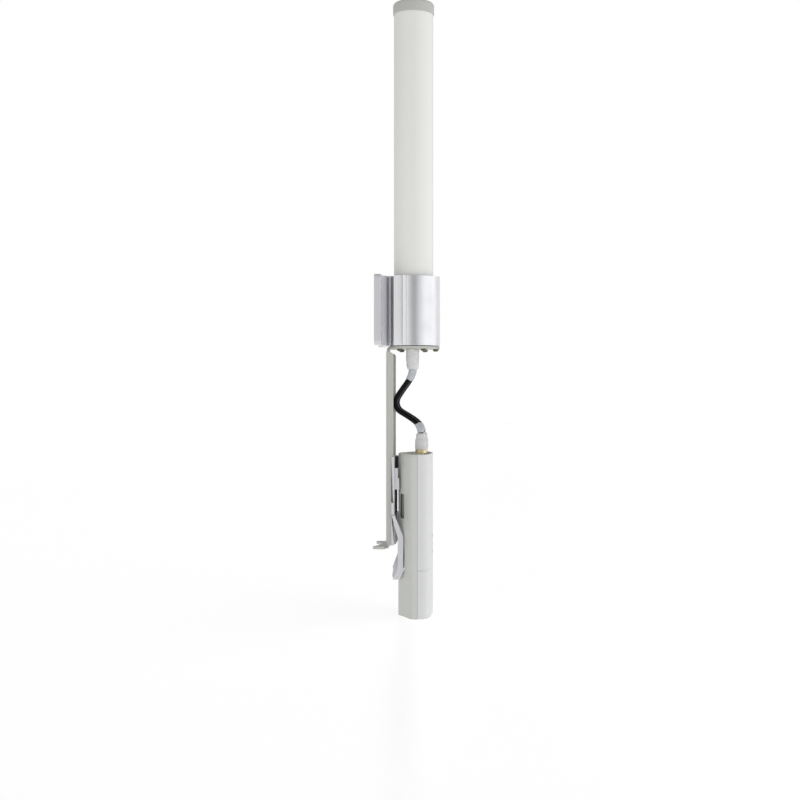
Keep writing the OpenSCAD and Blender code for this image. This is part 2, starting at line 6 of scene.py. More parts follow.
import bmesh
import bpy
from bpy.props import FloatProperty, FloatVectorProperty, PointerProperty
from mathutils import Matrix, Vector


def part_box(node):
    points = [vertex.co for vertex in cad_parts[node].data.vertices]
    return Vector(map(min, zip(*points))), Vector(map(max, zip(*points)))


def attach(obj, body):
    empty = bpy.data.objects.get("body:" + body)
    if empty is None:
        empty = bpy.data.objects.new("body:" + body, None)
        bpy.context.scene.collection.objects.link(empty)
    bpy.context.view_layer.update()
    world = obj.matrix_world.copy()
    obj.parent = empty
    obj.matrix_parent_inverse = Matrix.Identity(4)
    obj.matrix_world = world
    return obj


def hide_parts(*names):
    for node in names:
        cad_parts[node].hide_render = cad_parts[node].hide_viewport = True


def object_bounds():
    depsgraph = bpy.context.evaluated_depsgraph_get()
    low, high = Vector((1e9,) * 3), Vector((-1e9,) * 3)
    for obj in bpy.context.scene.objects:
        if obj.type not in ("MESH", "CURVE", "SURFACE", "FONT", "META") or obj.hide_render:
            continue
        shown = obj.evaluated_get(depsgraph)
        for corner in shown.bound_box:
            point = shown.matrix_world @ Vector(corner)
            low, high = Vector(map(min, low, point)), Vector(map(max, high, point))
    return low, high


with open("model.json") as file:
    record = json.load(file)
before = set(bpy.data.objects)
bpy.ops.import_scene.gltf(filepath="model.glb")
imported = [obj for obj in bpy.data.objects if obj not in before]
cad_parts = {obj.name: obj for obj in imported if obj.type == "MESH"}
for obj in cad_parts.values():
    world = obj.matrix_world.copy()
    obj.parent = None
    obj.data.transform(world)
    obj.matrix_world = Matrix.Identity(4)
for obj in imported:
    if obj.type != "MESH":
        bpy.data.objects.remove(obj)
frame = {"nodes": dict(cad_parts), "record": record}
CAD_LOW, CAD_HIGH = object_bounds()

bl_info = {
    "name": "Omnidirectional Antenna",
    "version": (1, 0, 0),
    "blender": (4, 5, 0),
    "location": "3D View > Sidebar > Antenna",
    "description": "Builds the visible pieces and finishes of an outdoor antenna on its arm",
    "category": "Object",
}

MM = 0.001
SLOT_OF = {part["node"]: part["material_slot"] for part in frame["record"]["subparts"]}
BODY_OF = {
    node: body
    for body, members in frame["record"]["behaviour"]["bodies"].items()
    for node in members
}
SIDES = {"a": -1, "b": 1}


def middle(node):
    """The middle of a CAD node's box."""
    low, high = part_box(node)
    return (low + high) / 2


TUBE_AXIS = middle("radome_tube")
RADIO_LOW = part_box("radio_rear_shell")[0]
ANTENNA_JACK_Y = middle("antenna_jack_b").y
RADIO_JACK_Y = middle("radio_jack_b").y
UPPER_PLUG_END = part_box("upper_plug_b")[0].z
LOWER_PLUG_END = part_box("lower_plug_b")[1].z

# The jumpers' route: distance from the tube's axis, share of the way from the antenna
# jack's Y to the radio jack's, and height over the radio's plug, in metres.
JUMPER_ROUTE = [
    (-0.0009, 0.00, 0.0660), (-0.0009, 0.00, 0.0630), (-0.0020, 0.00, 0.0592),
    (-0.0042, 0.00, 0.0549), (-0.0069, 0.00, 0.0507), (-0.0099, 0.00, 0.0466),
    (-0.0130, 0.00, 0.0420), (-0.0157, 0.02, 0.0378), (-0.0168, 0.04, 0.0351),
    (-0.0172, 0.07, 0.0323), (-0.0167, 0.11, 0.0290), (-0.01525, 0.16, 0.0261),
    (-0.0133, 0.22, 0.0240), (-0.0118, 0.28, 0.02295), (-0.0056, 0.49, 0.0192),
    (0.0007, 0.71, 0.0150), (0.0047, 0.86, 0.0114), (0.0068, 0.95, 0.0081),
    (0.00785, 1.00, 0.0049), (0.0082, 1.00, 0.0031), (0.0082, 1.00, 0.0000),
]


# ---------------------------------------------------------------- settings


class AntennaSizes(bpy.types.PropertyGroup):
    """Sizes of the finished pieces"""

    edge_round: FloatProperty(
        name="Edge rounding", description="Rounding of moulded edges",
        default=0.45 * MM, min=0.1 * MM, max=0.8 * MM, subtype="DISTANCE", unit="LENGTH")
    metal_edge: FloatProperty(
        name="Metal edge", description="Rounding of extruded and pressed metal edges",
        default=0.3 * MM, min=0.1 * MM, max=0.6 * MM, subtype="DISTANCE", unit="LENGTH")
    cable_diameter: FloatProperty(
        name="Cable diameter", description="Outer diameter of the jumper cables",
        default=5.2 * MM, min=4.8 * MM, max=5.2 * MM, subtype="DISTANCE", unit="LENGTH")


class AntennaColours(bpy.types.PropertyGroup):
    """Colours of the main finishes"""

    radome: FloatVectorProperty(
        name="Radome", description="Colour of the radome tube",
        default=(0.92, 0.92, 0.875), size=3, min=0, max=1, subtype="COLOR")
    cap: FloatVectorProperty(
        name="Cap", description="Colour of the top cap",
        default=(0.56, 0.56, 0.53), size=3, min=0, max=1, subtype="COLOR")
    arm: FloatVectorProperty(
        name="Arm", description="Colour of the coated steel arm",
        default=(0.60, 0.60, 0.555), size=3, min=0, max=1, subtype="COLOR")
    mount: FloatVectorProperty(
        name="Mount", description="Colour of the quick mount and the latch",
        default=(0.80, 0.80, 0.84), size=3, min=0, max=1, subtype="COLOR")
    rear_shell: FloatVectorProperty(
        name="Rear shell", description="Colour of the radio's rear shell",
        default=(0.69, 0.70, 0.66), size=3, min=0, max=1, subtype="COLOR")
    front_shell: FloatVectorProperty(
        name="Front shell", description="Colour of the radio's front shell and door",
        default=(0.80, 0.80, 0.80), size=3, min=0, max=1, subtype="COLOR")


class AntennaStage(bpy.types.PropertyGroup):
    """Camera and light"""

    view_turn: FloatProperty(
        name="View turn", description="How far the camera stands round towards the front",
        default=math.radians(3.3), subtype="ANGLE", unit="ROTATION")
    view_distance: FloatProperty(
        name="View distance", description="Distance from the camera to the tube's axis",
        default=1.345, min=0.5, subtype="DISTANCE", unit="LENGTH")
    view_height: FloatProperty(
        name="View height", description="Height of the camera over the radio's lower end",
        default=0.218, subtype="DISTANCE", unit="LENGTH")
    view_aside: FloatProperty(
        name="View aside", description="How far the camera aims beside the tube's axis",
        default=0.0136, subtype="DISTANCE", unit="LENGTH")
    key_power: FloatProperty(
        name="Key power", description="Power of the large light on the front side, in watts",
        default=2.0, min=0)
    edge_power: FloatProperty(
        name="Edge power", description="Power of the light behind the front side, in watts",
        default=0.1, min=0)
    room_light: FloatProperty(
        name="Room light", description="Strength of the light from the room's panels",
        default=1.0, min=0)
    ceiling: FloatProperty(
        name="Ceiling", description="How bright the ceiling is beside the panels",
        default=0.45, min=0, max=1)
    fill_power: FloatProperty(
        name="Fill power", description="Power of the light on the pole side, in watts",
        default=0.45, min=0)
    top_power: FloatProperty(
        name="Top power", description="Power of the light overhead, in watts",
        default=0.5, min=0)
    viewer_power: FloatProperty(
        name="Viewer power", description="Power of the soft light from the viewer's side, in watts",
        default=0.9, min=0)


def sizes():
    return bpy.context.scene.antenna_sizes


def colours():
    return bpy.context.scene.antenna_colours


# ---------------------------------------------------------------- materials


def new_material(name):
    """An empty node material for one of the finishes."""
    material = bpy.data.materials.new(name + "_finish")
    material.use_nodes = True
    material.node_tree.nodes.clear()
    return material


def moulded_plastic(name, pale, deep, roughness, grain_scale=2600.0, grain_depth=0.05, coat=0.0):
    """Moulded plastic: a slow drift of tone, a fine texture from the mould, and uneven gloss."""
    material = new_material(name)
    nodes, links = material.node_tree.nodes, material.node_tree.links

    colour_frame = nodes.new("NodeFrame")
    colour_frame.label = "Slow drift of the moulded colour"
    grain_frame = nodes.new("NodeFrame")
    grain_frame.label = "Texture of the mould"
    gloss_frame = nodes.new("NodeFrame")
    gloss_frame.label = "Uneven gloss"

    place = nodes.new("ShaderNodeTexCoord")
    place.label = "Place on the piece"
    drift = nodes.new("ShaderNodeTexNoise")
    drift.label = "Cloudy drift"
    drift.parent = colour_frame
    speck = nodes.new("ShaderNodeTexNoise")
    speck.label = "Dust specks"
    speck.parent = colour_frame
    speck_share = nodes.new("ShaderNodeMapRange")
    speck_share.label = "Few specks"
    speck_share.parent = colour_frame
    tone = nodes.new("ShaderNodeMix")
    tone.label = "Pale to deep"
    tone.parent = colour_frame
    dusty = nodes.new("ShaderNodeMix")
    dusty.label = "Dust over colour"
    dusty.parent = colour_frame
    grain = nodes.new("ShaderNodeTexNoise")
    grain.label = "Fine grain"
    grain.parent = grain_frame
    sink = nodes.new("ShaderNodeTexNoise")
    sink.label = "Wide sink marks"
    sink.parent = grain_frame
    grain_bump = nodes.new("ShaderNodeBump")
    grain_bump.label = "Grain height"
    grain_bump.parent = grain_frame
    sink_bump = nodes.new("ShaderNodeBump")
    sink_bump.label = "Sink height"
    sink_bump.parent = grain_frame
    gloss = nodes.new("ShaderNodeTexNoise")
    gloss.label = "Patches of gloss"
    gloss.parent = gloss_frame
    gloss_range = nodes.new("ShaderNodeMapRange")
    gloss_range.label = "Roughness range"
    gloss_range.parent = gloss_frame
    shader = nodes.new("ShaderNodeBsdfPrincipled")
    shader.label = "Plastic"
    output = nodes.new("ShaderNodeOutputMaterial")
    output.label = "Surface"

    for node, where in (
        (place, (-1100, 0)), (drift, (-800, 300)), (speck, (-800, 80)), (speck_share, (-600, 80)),
        (tone, (-600, 320)), (dusty, (-380, 240)), (sink, (-800, -420)), (grain, (-800, -640)),
        (sink_bump, (-560, -420)), (grain_bump, (-340, -560)), (gloss, (-800, -140)),
        (gloss_range, (-560, -140)), (shader, (-80, 100)), (output, (220, 100)),
    ):
        node.location = where

    drift.inputs["Scale"].default_value = 14.0
    drift.inputs["Detail"].default_value = 3.0
    tone.data_type = "RGBA"
    tone.inputs["A"].default_value = (*pale, 1)
    tone.inputs["B"].default_value = (*deep, 1)
    speck.inputs["Scale"].default_value = 420.0
    speck.inputs["Detail"].default_value = 4.0
    speck_share.inputs["From Min"].default_value = 0.62
    speck_share.inputs["From Max"].default_value = 0.80
    speck_share.inputs["To Max"].default_value = 0.35
    dusty.data_type = "RGBA"
    dusty.inputs["B"].default_value = (*[c * 0.80 for c in deep], 1)
    grain.inputs["Scale"].default_value = grain_scale
    grain.inputs["Detail"].default_value = 2.0
    sink.inputs["Scale"].default_value = 22.0
    grain_bump.inputs["Strength"].default_value = grain_depth
    grain_bump.inputs["Distance"].default_value = 0.0004
    sink_bump.inputs["Strength"].default_value = 0.06
    sink_bump.inputs["Distance"].default_value = 0.0008
    gloss.inputs["Scale"].default_value = 60.0
    gloss.inputs["Detail"].default_value = 4.0
    gloss_range.inputs["To Min"].default_value = roughness - 0.05
    gloss_range.inputs["To Max"].default_value = roughness + 0.07
    shader.inputs["IOR"].default_value = 1.48
    shader.inputs["Coat Weight"].default_value = coat
    shader.inputs["Coat Roughness"].default_value = 0.25

    links.new(place.outputs["Object"], drift.inputs["Vector"])
    links.new(place.outputs["Object"], speck.inputs["Vector"])
    links.new(place.outputs["Object"], grain.inputs["Vector"])
    links.new(place.outputs["Object"], sink.inputs["Vector"])
    links.new(place.outputs["Object"], gloss.inputs["Vector"])
    links.new(drift.outputs["Fac"], tone.inputs["Factor"])
    links.new(speck.outputs["Fac"], speck_share.inputs["Value"])
    links.new(tone.outputs["Result"], dusty.inputs["A"])
    links.new(speck_share.outputs["Result"], dusty.inputs["Factor"])
    links.new(dusty.outputs["Result"], shader.inputs["Base Color"])
    links.new(sink.outputs["Fac"], sink_bump.inputs["Height"])
    links.new(grain.outputs["Fac"], grain_bump.inputs["Height"])
    links.new(sink_bump.outputs["Normal"], grain_bump.inputs["Normal"])
    links.new(grain_bump.outputs["Normal"], shader.inputs["Normal"])
    links.new(gloss.outputs["Fac"], gloss_range.inputs["Value"])
    links.new(gloss_range.outputs["Result"], shader.inputs["Roughness"])
    links.new(shader.outputs["BSDF"], output.inputs["Surface"])
    return material


def bare_metal(name, pale, deep, roughness, stretch, streak_scale=900.0, streak_depth=0.12,
               metallic=1.0):
    """Bare or anodised metal with the fine lines of its making, drawn out by stretch along the piece."""
    material = new_material(name)
    nodes, links = material.node_tree.nodes, material.node_tree.links

    line_frame = nodes.new("NodeFrame")
    line_frame.label = "Lines left by the tool"
    wear_frame = nodes.new("NodeFrame")
    wear_frame.label = "Handling and oxide"

    place = nodes.new("ShaderNodeTexCoord")
    place.label = "Place on the piece"
    along = nodes.new("ShaderNodeMapping")
    along.label = "Drawn out along the piece"
    along.parent = line_frame
    lines = nodes.new("ShaderNodeTexNoise")
    lines.label = "Fine lines"
    lines.parent = line_frame
    line_bump = nodes.new("ShaderNodeBump")
    line_bump.label = "Line height"
    line_bump.parent = line_frame
    line_tone = nodes.new("ShaderNodeMix")
    line_tone.label = "Lines in the colour"
    line_tone.parent = line_frame
    oxide = nodes.new("ShaderNodeTexNoise")
    oxide.label = "Oxide patches"
    oxide.parent = wear_frame
    oxide_tone = nodes.new("ShaderNodeMix")
    oxide_tone.label = "Duller patches"
    oxide_tone.parent = wear_frame
    oxide_share = nodes.new("ShaderNodeMapRange")
    oxide_share.label = "Share of patches"
    oxide_share.parent = wear_frame
    polish = nodes.new("ShaderNodeMapRange")
    polish.label = "Roughness range"
    polish.parent = wear_frame
    shader = nodes.new("ShaderNodeBsdfPrincipled")
    shader.label = "Metal"
    output = nodes.new("ShaderNodeOutputMaterial")
    output.label = "Surface"

    for node, where in (
        (place, (-1200, 0)), (along, (-980, 200)), (lines, (-780, 200)), (line_tone, (-560, 320)),
        (line_bump, (-560, 60)), (oxide, (-780, -220)), (oxide_share, (-560, -180)),
        (oxide_tone, (-340, 180)), (polish, (-340, -220)), (shader, (-80, 100)), (output, (220, 100)),
    ):
        node.location = where

    along.inputs["Scale"].default_value = stretch
    lines.inputs["Scale"].default_value = streak_scale
    lines.inputs["Detail"].default_value = 5.0
    lines.inputs["Roughness"].default_value = 0.6
    line_tone.data_type = "RGBA"
    line_tone.inputs["A"].default_value = (*pale, 1)
    line_tone.inputs["B"].default_value = (*deep, 1)
    line_bump.inputs["Strength"].default_value = streak_depth
    line_bump.inputs["Distance"].default_value = 0.0003
    oxide.inputs["Scale"].default_value = 45.0
    oxide.inputs["Detail"].default_value = 6.0
    oxide_share.inputs["From Min"].default_value = 0.45
    oxide_share.inputs["From Max"].default_value = 0.75
    oxide_share.inputs["To Max"].default_value = 0.30
    oxide_tone.data_type = "RGBA"
    oxide_tone.inputs["B"].default_value = (*[c * 0.72 for c in deep], 1)
    polish.inputs["To Min"].default_value = roughness - 0.06
    polish.inputs["To Max"].default_value = roughness + 0.12
    shader.inputs["Metallic"].default_value = metallic

    links.new(place.outputs["Object"], along.inputs["Vector"])
    links.new(along.outputs["Vector"], lines.inputs["Vector"])
    links.new(place.outputs["Object"], oxide.inputs["Vector"])
    links.new(lines.outputs["Fac"], line_tone.inputs["Factor"])
    links.new(lines.outputs["Fac"], line_bump.inputs["Height"])
    links.new(oxide.outputs["Fac"], oxide_share.inputs["Value"])
    links.new(line_tone.outputs["Result"], oxide_tone.inputs["A"])
    links.new(oxide_share.outputs["Result"], oxide_tone.inputs["Factor"])
    links.new(oxide_tone.outputs["Result"], shader.inputs["Base Color"])
    links.new(oxide.outputs["Fac"], polish.inputs["Value"])
    links.new(polish.outputs["Result"], shader.inputs["Roughness"])
    links.new(line_bump.outputs["Normal"], shader.inputs["Normal"])
    links.new(shader.outputs["BSDF"], output.inputs["Surface"])
    return material


def collar_zones(metal):
    """The collar's colour by place: paler, less metallic flat sides and front pad as painted light, a greyer
    back, and two ribs painted white as a painted highlight.
    """
    nodes, links = metal.node_tree.nodes, metal.node_tree.links
    shader = next(node for node in nodes if node.label == "Metal")
    place = next(node for node in nodes if node.label == "Place on the piece")
    zone_frame = nodes.new("NodeFrame")
    zone_frame.label = "Painted light and painted rib highlights"

    # Painted light: these masks give the flat sides and the front pad a paler, less metallic copy of the
    # metal, and the ribs a painted highlight; the back is greyer.
    split = nodes.new("ShaderNodeSeparateXYZ")
    split.label = "Across and along"
    out = nodes.new("ShaderNodeMath")
    out.label = "Distance to either side"
    out.operation = "ABSOLUTE"
    proud = nodes.new("ShaderNodeMath")
    proud.label = "On a rib"
    proud.operation = "GREATER_THAN"
    proud.inputs[1].default_value = 25.1 * MM
    side = nodes.new("ShaderNodeMath")
    side.label = "On the flat side"
    side.operation = "GREATER_THAN"
    side.inputs[1].default_value = 22.3 * MM
    behind = nodes.new("ShaderNodeMath")
    behind.label = "Behind the barrel"
    behind.operation = "LESS_THAN"
    behind.inputs[1].default_value = TUBE_AXIS.x - 4.9 * MM
    back = nodes.new("ShaderNodeMath")
    back.label = "At the back"
    back.operation = "LESS_THAN"
    back.inputs[1].default_value = TUBE_AXIS.x - 18.7 * MM
    front = nodes.new("ShaderNodeMath")
    front.label = "On the front pad"
    front.operation = "GREATER_THAN"
    front.inputs[1].default_value = TUBE_AXIS.x + 20.9 * MM
    ends = nodes.new("ShaderNodeMath")
    ends.label = "Painted light on sides and front pad"
    ends.operation = "MAXIMUM"
    painted_light_or_highlight = nodes.new("ShaderNodeMath")
    painted_light_or_highlight.label = "Painted light or rib highlight"
    painted_light_or_highlight.operation = "MAXIMUM"
    ahead = nodes.new("ShaderNodeMath")
    ahead.label = "Ahead of the back"
    ahead.operation = "SUBTRACT"
    ahead.inputs[0].default_value = 1.0
    flat_side = nodes.new("ShaderNodeMath")
    flat_side.label = "Flat side painted lighter"
    flat_side.operation = "MULTIPLY"
    painted_light_zone = nodes.new("ShaderNodeMath")
    painted_light_zone.label = "Painted light zones and grey back"
    painted_light_zone.operation = "MAXIMUM"
    rib = nodes.new("ShaderNodeMath")
    rib.label = "Rib highlight mask"
    rib.operation = "MULTIPLY"
    metal_share = nodes.new("ShaderNodeMath")
    metal_share.label = "Less bare metal"
    metal_share.operation = "MULTIPLY_ADD"
    metal_share.inputs[1].default_value = -0.74
    metal_share.inputs[2].default_value = shader.inputs["Metallic"].default_value
    for node, where in (
        (split, (-1200, -560)), (out, (-1020, -560)), (proud, (-840, -480)), (side, (-840, -640)),
        (behind, (-840, -800)), (back, (-840, -960)), (ahead, (-660, -960)), (flat_side, (-660, -700)),
        (front, (-840, -1120)), (ends, (-660, -1100)), (painted_light_zone, (-480, -760)), (rib, (-480, -520)),
        (painted_light_or_highlight, (-300, -640)), (metal_share, (-120, -760)),
    ):
        node.location = where
        node.parent = zone_frame
    links.new(place.outputs["Object"], split.inputs["Vector"])
    links.new(split.outputs["Y"], out.inputs[0])
    links.new(out.outputs[0], proud.inputs[0])
    links.new(out.outputs[0], side.inputs[0])
    links.new(split.outputs["X"], behind.inputs[0])
    links.new(split.outputs["X"], back.inputs[0])
    links.new(back.outputs[0], ahead.inputs[1])
    links.new(side.outputs[0], flat_side.inputs[0])
    links.new(behind.outputs[0], flat_side.inputs[1])
    links.new(split.outputs["X"], front.inputs[0])
    links.new(flat_side.outputs[0], ends.inputs[0])
    links.new(front.outputs[0], ends.inputs[1])
    links.new(ends.outputs[0], painted_light_zone.inputs[0])
    links.new(back.outputs[0], painted_light_zone.inputs[1])
    links.new(proud.outputs[0], rib.inputs[0])
    links.new(ahead.outputs[0], rib.inputs[1])
    links.new(painted_light_zone.outputs[0], painted_light_or_highlight.inputs[0])
    links.new(rib.outputs[0], painted_light_or_highlight.inputs[1])
    links.new(painted_light_or_highlight.outputs[0], metal_share.inputs[0])
    links.new(metal_share.outputs[0], shader.inputs["Metallic"])
    # Painted light and painted highlight: a paler colour on the sides and pad, white on the ribs.
    pale = nodes.new("ShaderNodeMix")
    pale.label = "Paler colour as painted light"
    grey = nodes.new("ShaderNodeMix")
    grey.label = "Grey back"
    bright = nodes.new("ShaderNodeMix")
    bright.label = "White rib as painted highlight"
    for node, where in ((pale, (-460, 300)), (grey, (-280, 360)), (bright, (-100, 420))):
        node.data_type = "RGBA"
        node.location = where
        node.parent = zone_frame
    grey.inputs["B"].default_value = (0.70, 0.70, 0.73, 1)
    pale.inputs["B"].default_value = (0.97, 0.97, 0.975, 1)
    bright.inputs["B"].default_value = (1, 1, 1, 1)
    links.new(ends.outputs[0], pale.inputs["Factor"])
    links.new(shader.inputs["Base Color"].links[0].from_socket, pale.inputs["A"])
    links.new(back.outputs[0], grey.inputs["Factor"])
    links.new(pale.outputs["Result"], grey.inputs["A"])
    links.new(rib.outputs[0], bright.inputs["Factor"])
    links.new(grey.outputs["Result"], bright.inputs["A"])
    links.new(bright.outputs["Result"], shader.inputs["Base Color"])
    return metal


def powder_coat(name, pale, deep, roughness=0.42):
    """Powder coating on sheet steel: a shallow orange peel under a satin film, with grime in patches."""
    material = new_material(name)
    nodes, links = material.node_tree.nodes, material.node_tree.links

    peel_frame = nodes.new("NodeFrame")
    peel_frame.label = "Orange peel of the coating"
    grime_frame = nodes.new("NodeFrame")
    grime_frame.label = "Patches of grime"

    place = nodes.new("ShaderNodeTexCoord")
    place.label = "Place on the arm"
    peel = nodes.new("ShaderNodeTexNoise")
    peel.label = "Orange peel"
    peel.parent = peel_frame
    peel_bump = nodes.new("ShaderNodeBump")
    peel_bump.label = "Peel height"
    peel_bump.parent = peel_frame
    grime = nodes.new("ShaderNodeTexNoise")
    grime.label = "Grime patches"
    grime.parent = grime_frame
    grime_tone = nodes.new("ShaderNodeMix")
    grime_tone.label = "Coating to grime"
    grime_tone.parent = grime_frame
    film = nodes.new("ShaderNodeMapRange")
    film.label = "Roughness range"
    film.parent = grime_frame
    shader = nodes.new("ShaderNodeBsdfPrincipled")
    shader.label = "Coated steel"
    output = nodes.new("ShaderNodeOutputMaterial")
    output.label = "Surface"

    for node, where in (
        (place, (-1000, 0)), (peel, (-760, -220)), (peel_bump, (-500, -220)), (grime, (-760, 140)),
        (grime_tone, (-500, 220)), (film, (-500, 0)), (shader, (-160, 100)), (output, (140, 100)),
    ):
        node.location = where

    peel.inputs["Scale"].default_value = 950.0
    peel.inputs["Detail"].default_value = 1.5
    peel_bump.inputs["Strength"].default_value = 0.10
    peel_bump.inputs["Distance"].default_value = 0.0003
    grime.inputs["Scale"].default_value = 34.0
    grime.inputs["Detail"].default_value = 5.0
    grime_tone.data_type = "RGBA"
    grime_tone.inputs["A"].default_value = (*pale, 1)
    grime_tone.inputs["B"].default_value = (*deep, 1)
    film.inputs["To Min"].default_value = roughness - 0.04
    film.inputs["To Max"].default_value = roughness + 0.10
    shader.inputs["Coat Weight"].default_value = 0.15
    shader.inputs["Coat Roughness"].default_value = 0.30

    links.new(place.outputs["Object"], peel.inputs["Vector"])
    links.new(place.outputs["Object"], grime.inputs["Vector"])
    links.new(peel.outputs["Fac"], peel_bump.inputs["Height"])
    links.new(grime.outputs["Fac"], grime_tone.inputs["Factor"])
    links.new(grime.outputs["Fac"], film.inputs["Value"])
    links.new(grime_tone.outputs["Result"], shader.inputs["Base Color"])
    links.new(film.outputs["Result"], shader.inputs["Roughness"])
    links.new(peel_bump.outputs["Normal"], shader.inputs["Normal"])
    links.new(shader.outputs["BSDF"], output.inputs["Surface"])
    return material


def black_polymer(name, tone, roughness, print_scale, sheen=0.0, shine=0.5):
    """Black rubber or cable jacket: nearly black, with a faint bloom and an extruded or moulded print."""
    material = new_material(name)
    nodes, links = material.node_tree.nodes, material.node_tree.links

    bloom_frame = nodes.new("NodeFrame")
    bloom_frame.label = "Grey bloom"
    print_frame = nodes.new("NodeFrame")
    print_frame.label = "Print of the die or the mould"

    place = nodes.new("ShaderNodeTexCoord")
    place.label = "Place on the piece"
    bloom = nodes.new("ShaderNodeTexNoise")
    bloom.label = "Bloom patches"
    bloom.parent = bloom_frame
    bloom_tone = nodes.new("ShaderNodeMix")
    bloom_tone.label = "Black to bloom"
    bloom_tone.parent = bloom_frame
    rub = nodes.new("ShaderNodeMapRange")
    rub.label = "Roughness range"
    rub.parent = bloom_frame
    texture = nodes.new("ShaderNodeTexNoise")
    texture.label = "Fine print"
    texture.parent = print_frame
    texture_bump = nodes.new("ShaderNodeBump")
    texture_bump.label = "Print height"
    texture_bump.parent = print_frame
    shader = nodes.new("ShaderNodeBsdfPrincipled")
    shader.label = "Black polymer"
    output = nodes.new("ShaderNodeOutputMaterial")
    output.label = "Surface"

    for node, where in (
        (place, (-1000, 0)), (bloom, (-760, 160)), (bloom_tone, (-500, 240)), (rub, (-500, 20)),
        (texture, (-760, -220)), (texture_bump, (-500, -220)), (shader, (-160, 100)), (output, (140, 100)),
    ):
        node.location = where

    bloom.inputs["Scale"].default_value = 120.0
    bloom.inputs["Detail"].default_value = 4.0
    bloom_tone.data_type = "RGBA"
    bloom_tone.inputs["A"].default_value = (*[c * 0.8 for c in tone], 1)
    bloom_tone.inputs["B"].default_value = (*[c * 1.6 for c in tone], 1)
    rub.inputs["To Min"].default_value = roughness - 0.05
    rub.inputs["To Max"].default_value = roughness + 0.10
    texture.inputs["Scale"].default_value = print_scale
    texture_bump.inputs["Strength"].default_value = 0.08
    texture_bump.inputs["Distance"].default_value = 0.0003
    shader.inputs["Sheen Weight"].default_value = sheen
    shader.inputs["Specular IOR Level"].default_value = shine

    links.new(place.outputs["Object"], bloom.inputs["Vector"])
    links.new(place.outputs["Object"], texture.inputs["Vector"])
    links.new(bloom.outputs["Fac"], bloom_tone.inputs["Factor"])
    links.new(bloom.outputs["Fac"], rub.inputs["Value"])
    links.new(bloom_tone.outputs["Result"], shader.inputs["Base Color"])
    links.new(rub.outputs["Result"], shader.inputs["Roughness"])
    links.new(texture.outputs["Fac"], texture_bump.inputs["Height"])
    links.new(texture_bump.outputs["Normal"], shader.inputs["Normal"])
    links.new(shader.outputs["BSDF"], output.inputs["Surface"])
    return material


def see_through(name, tint, cloud, roughness, passing, flow):
    """Milky or clear moulding: light passes through, clouded by the melt's flow lines."""
    material = new_material(name)
    nodes, links = material.node_tree.nodes, material.node_tree.links

    flow_frame = nodes.new("NodeFrame")
    flow_frame.label = "Flow lines of the melt"

    place = nodes.new("ShaderNodeTexCoord")
    place.label = "Place on the piece"
    along = nodes.new("ShaderNodeMapping")
    along.label = "Drawn out along the flow"
    along.parent = flow_frame
    lines = nodes.new("ShaderNodeTexNoise")
    lines.label = "Flow lines"
    lines.parent = flow_frame
    tone = nodes.new("ShaderNodeMix")
    tone.label = "Clear to clouded"
    tone.parent = flow_frame
    ripple = nodes.new("ShaderNodeBump")
    ripple.label = "Ripple"
    ripple.parent = flow_frame
    haze = nodes.new("ShaderNodeMapRange")
    haze.label = "Roughness range"
    haze.parent = flow_frame
    shader = nodes.new("ShaderNodeBsdfPrincipled")
    shader.label = "See-through plastic"
    output = nodes.new("ShaderNodeOutputMaterial")
    output.label = "Surface"

    for node, where in (
        (place, (-1100, 0)), (along, (-900, 0)), (lines, (-700, 0)), (tone, (-460, 200)),
        (haze, (-460, -20)), (ripple, (-460, -260)), (shader, (-160, 60)), (output, (140, 60)),
    ):
        node.location = where

    along.inputs["Scale"].default_value = flow
    lines.inputs["Scale"].default_value = 380.0
    lines.inputs["Detail"].default_value = 3.0
    tone.data_type = "RGBA"
    tone.inputs["A"].default_value = (*tint, 1)
    tone.inputs["B"].default_value = (*cloud, 1)
    haze.inputs["To Min"].default_value = roughness - 0.06
    haze.inputs["To Max"].default_value = roughness + 0.10
    ripple.inputs["Strength"].default_value = 0.05
    ripple.inputs["Distance"].default_value = 0.0003
    shader.inputs["Transmission Weight"].default_value = passing
    shader.inputs["IOR"].default_value = 1.42

    links.new(place.outputs["Object"], along.inputs["Vector"])
    links.new(along.outputs["Vector"], lines.inputs["Vector"])
    links.new(lines.outputs["Fac"], tone.inputs["Factor"])
    links.new(lines.outputs["Fac"], haze.inputs["Value"])
    links.new(lines.outputs["Fac"], ripple.inputs["Height"])
    links.new(tone.outputs["Result"], shader.inputs["Base Color"])
    links.new(haze.outputs["Result"], shader.inputs["Roughness"])
    links.new(ripple.outputs["Normal"], shader.inputs["Normal"])
    links.new(shader.outputs["BSDF"], output.inputs["Surface"])
    return material


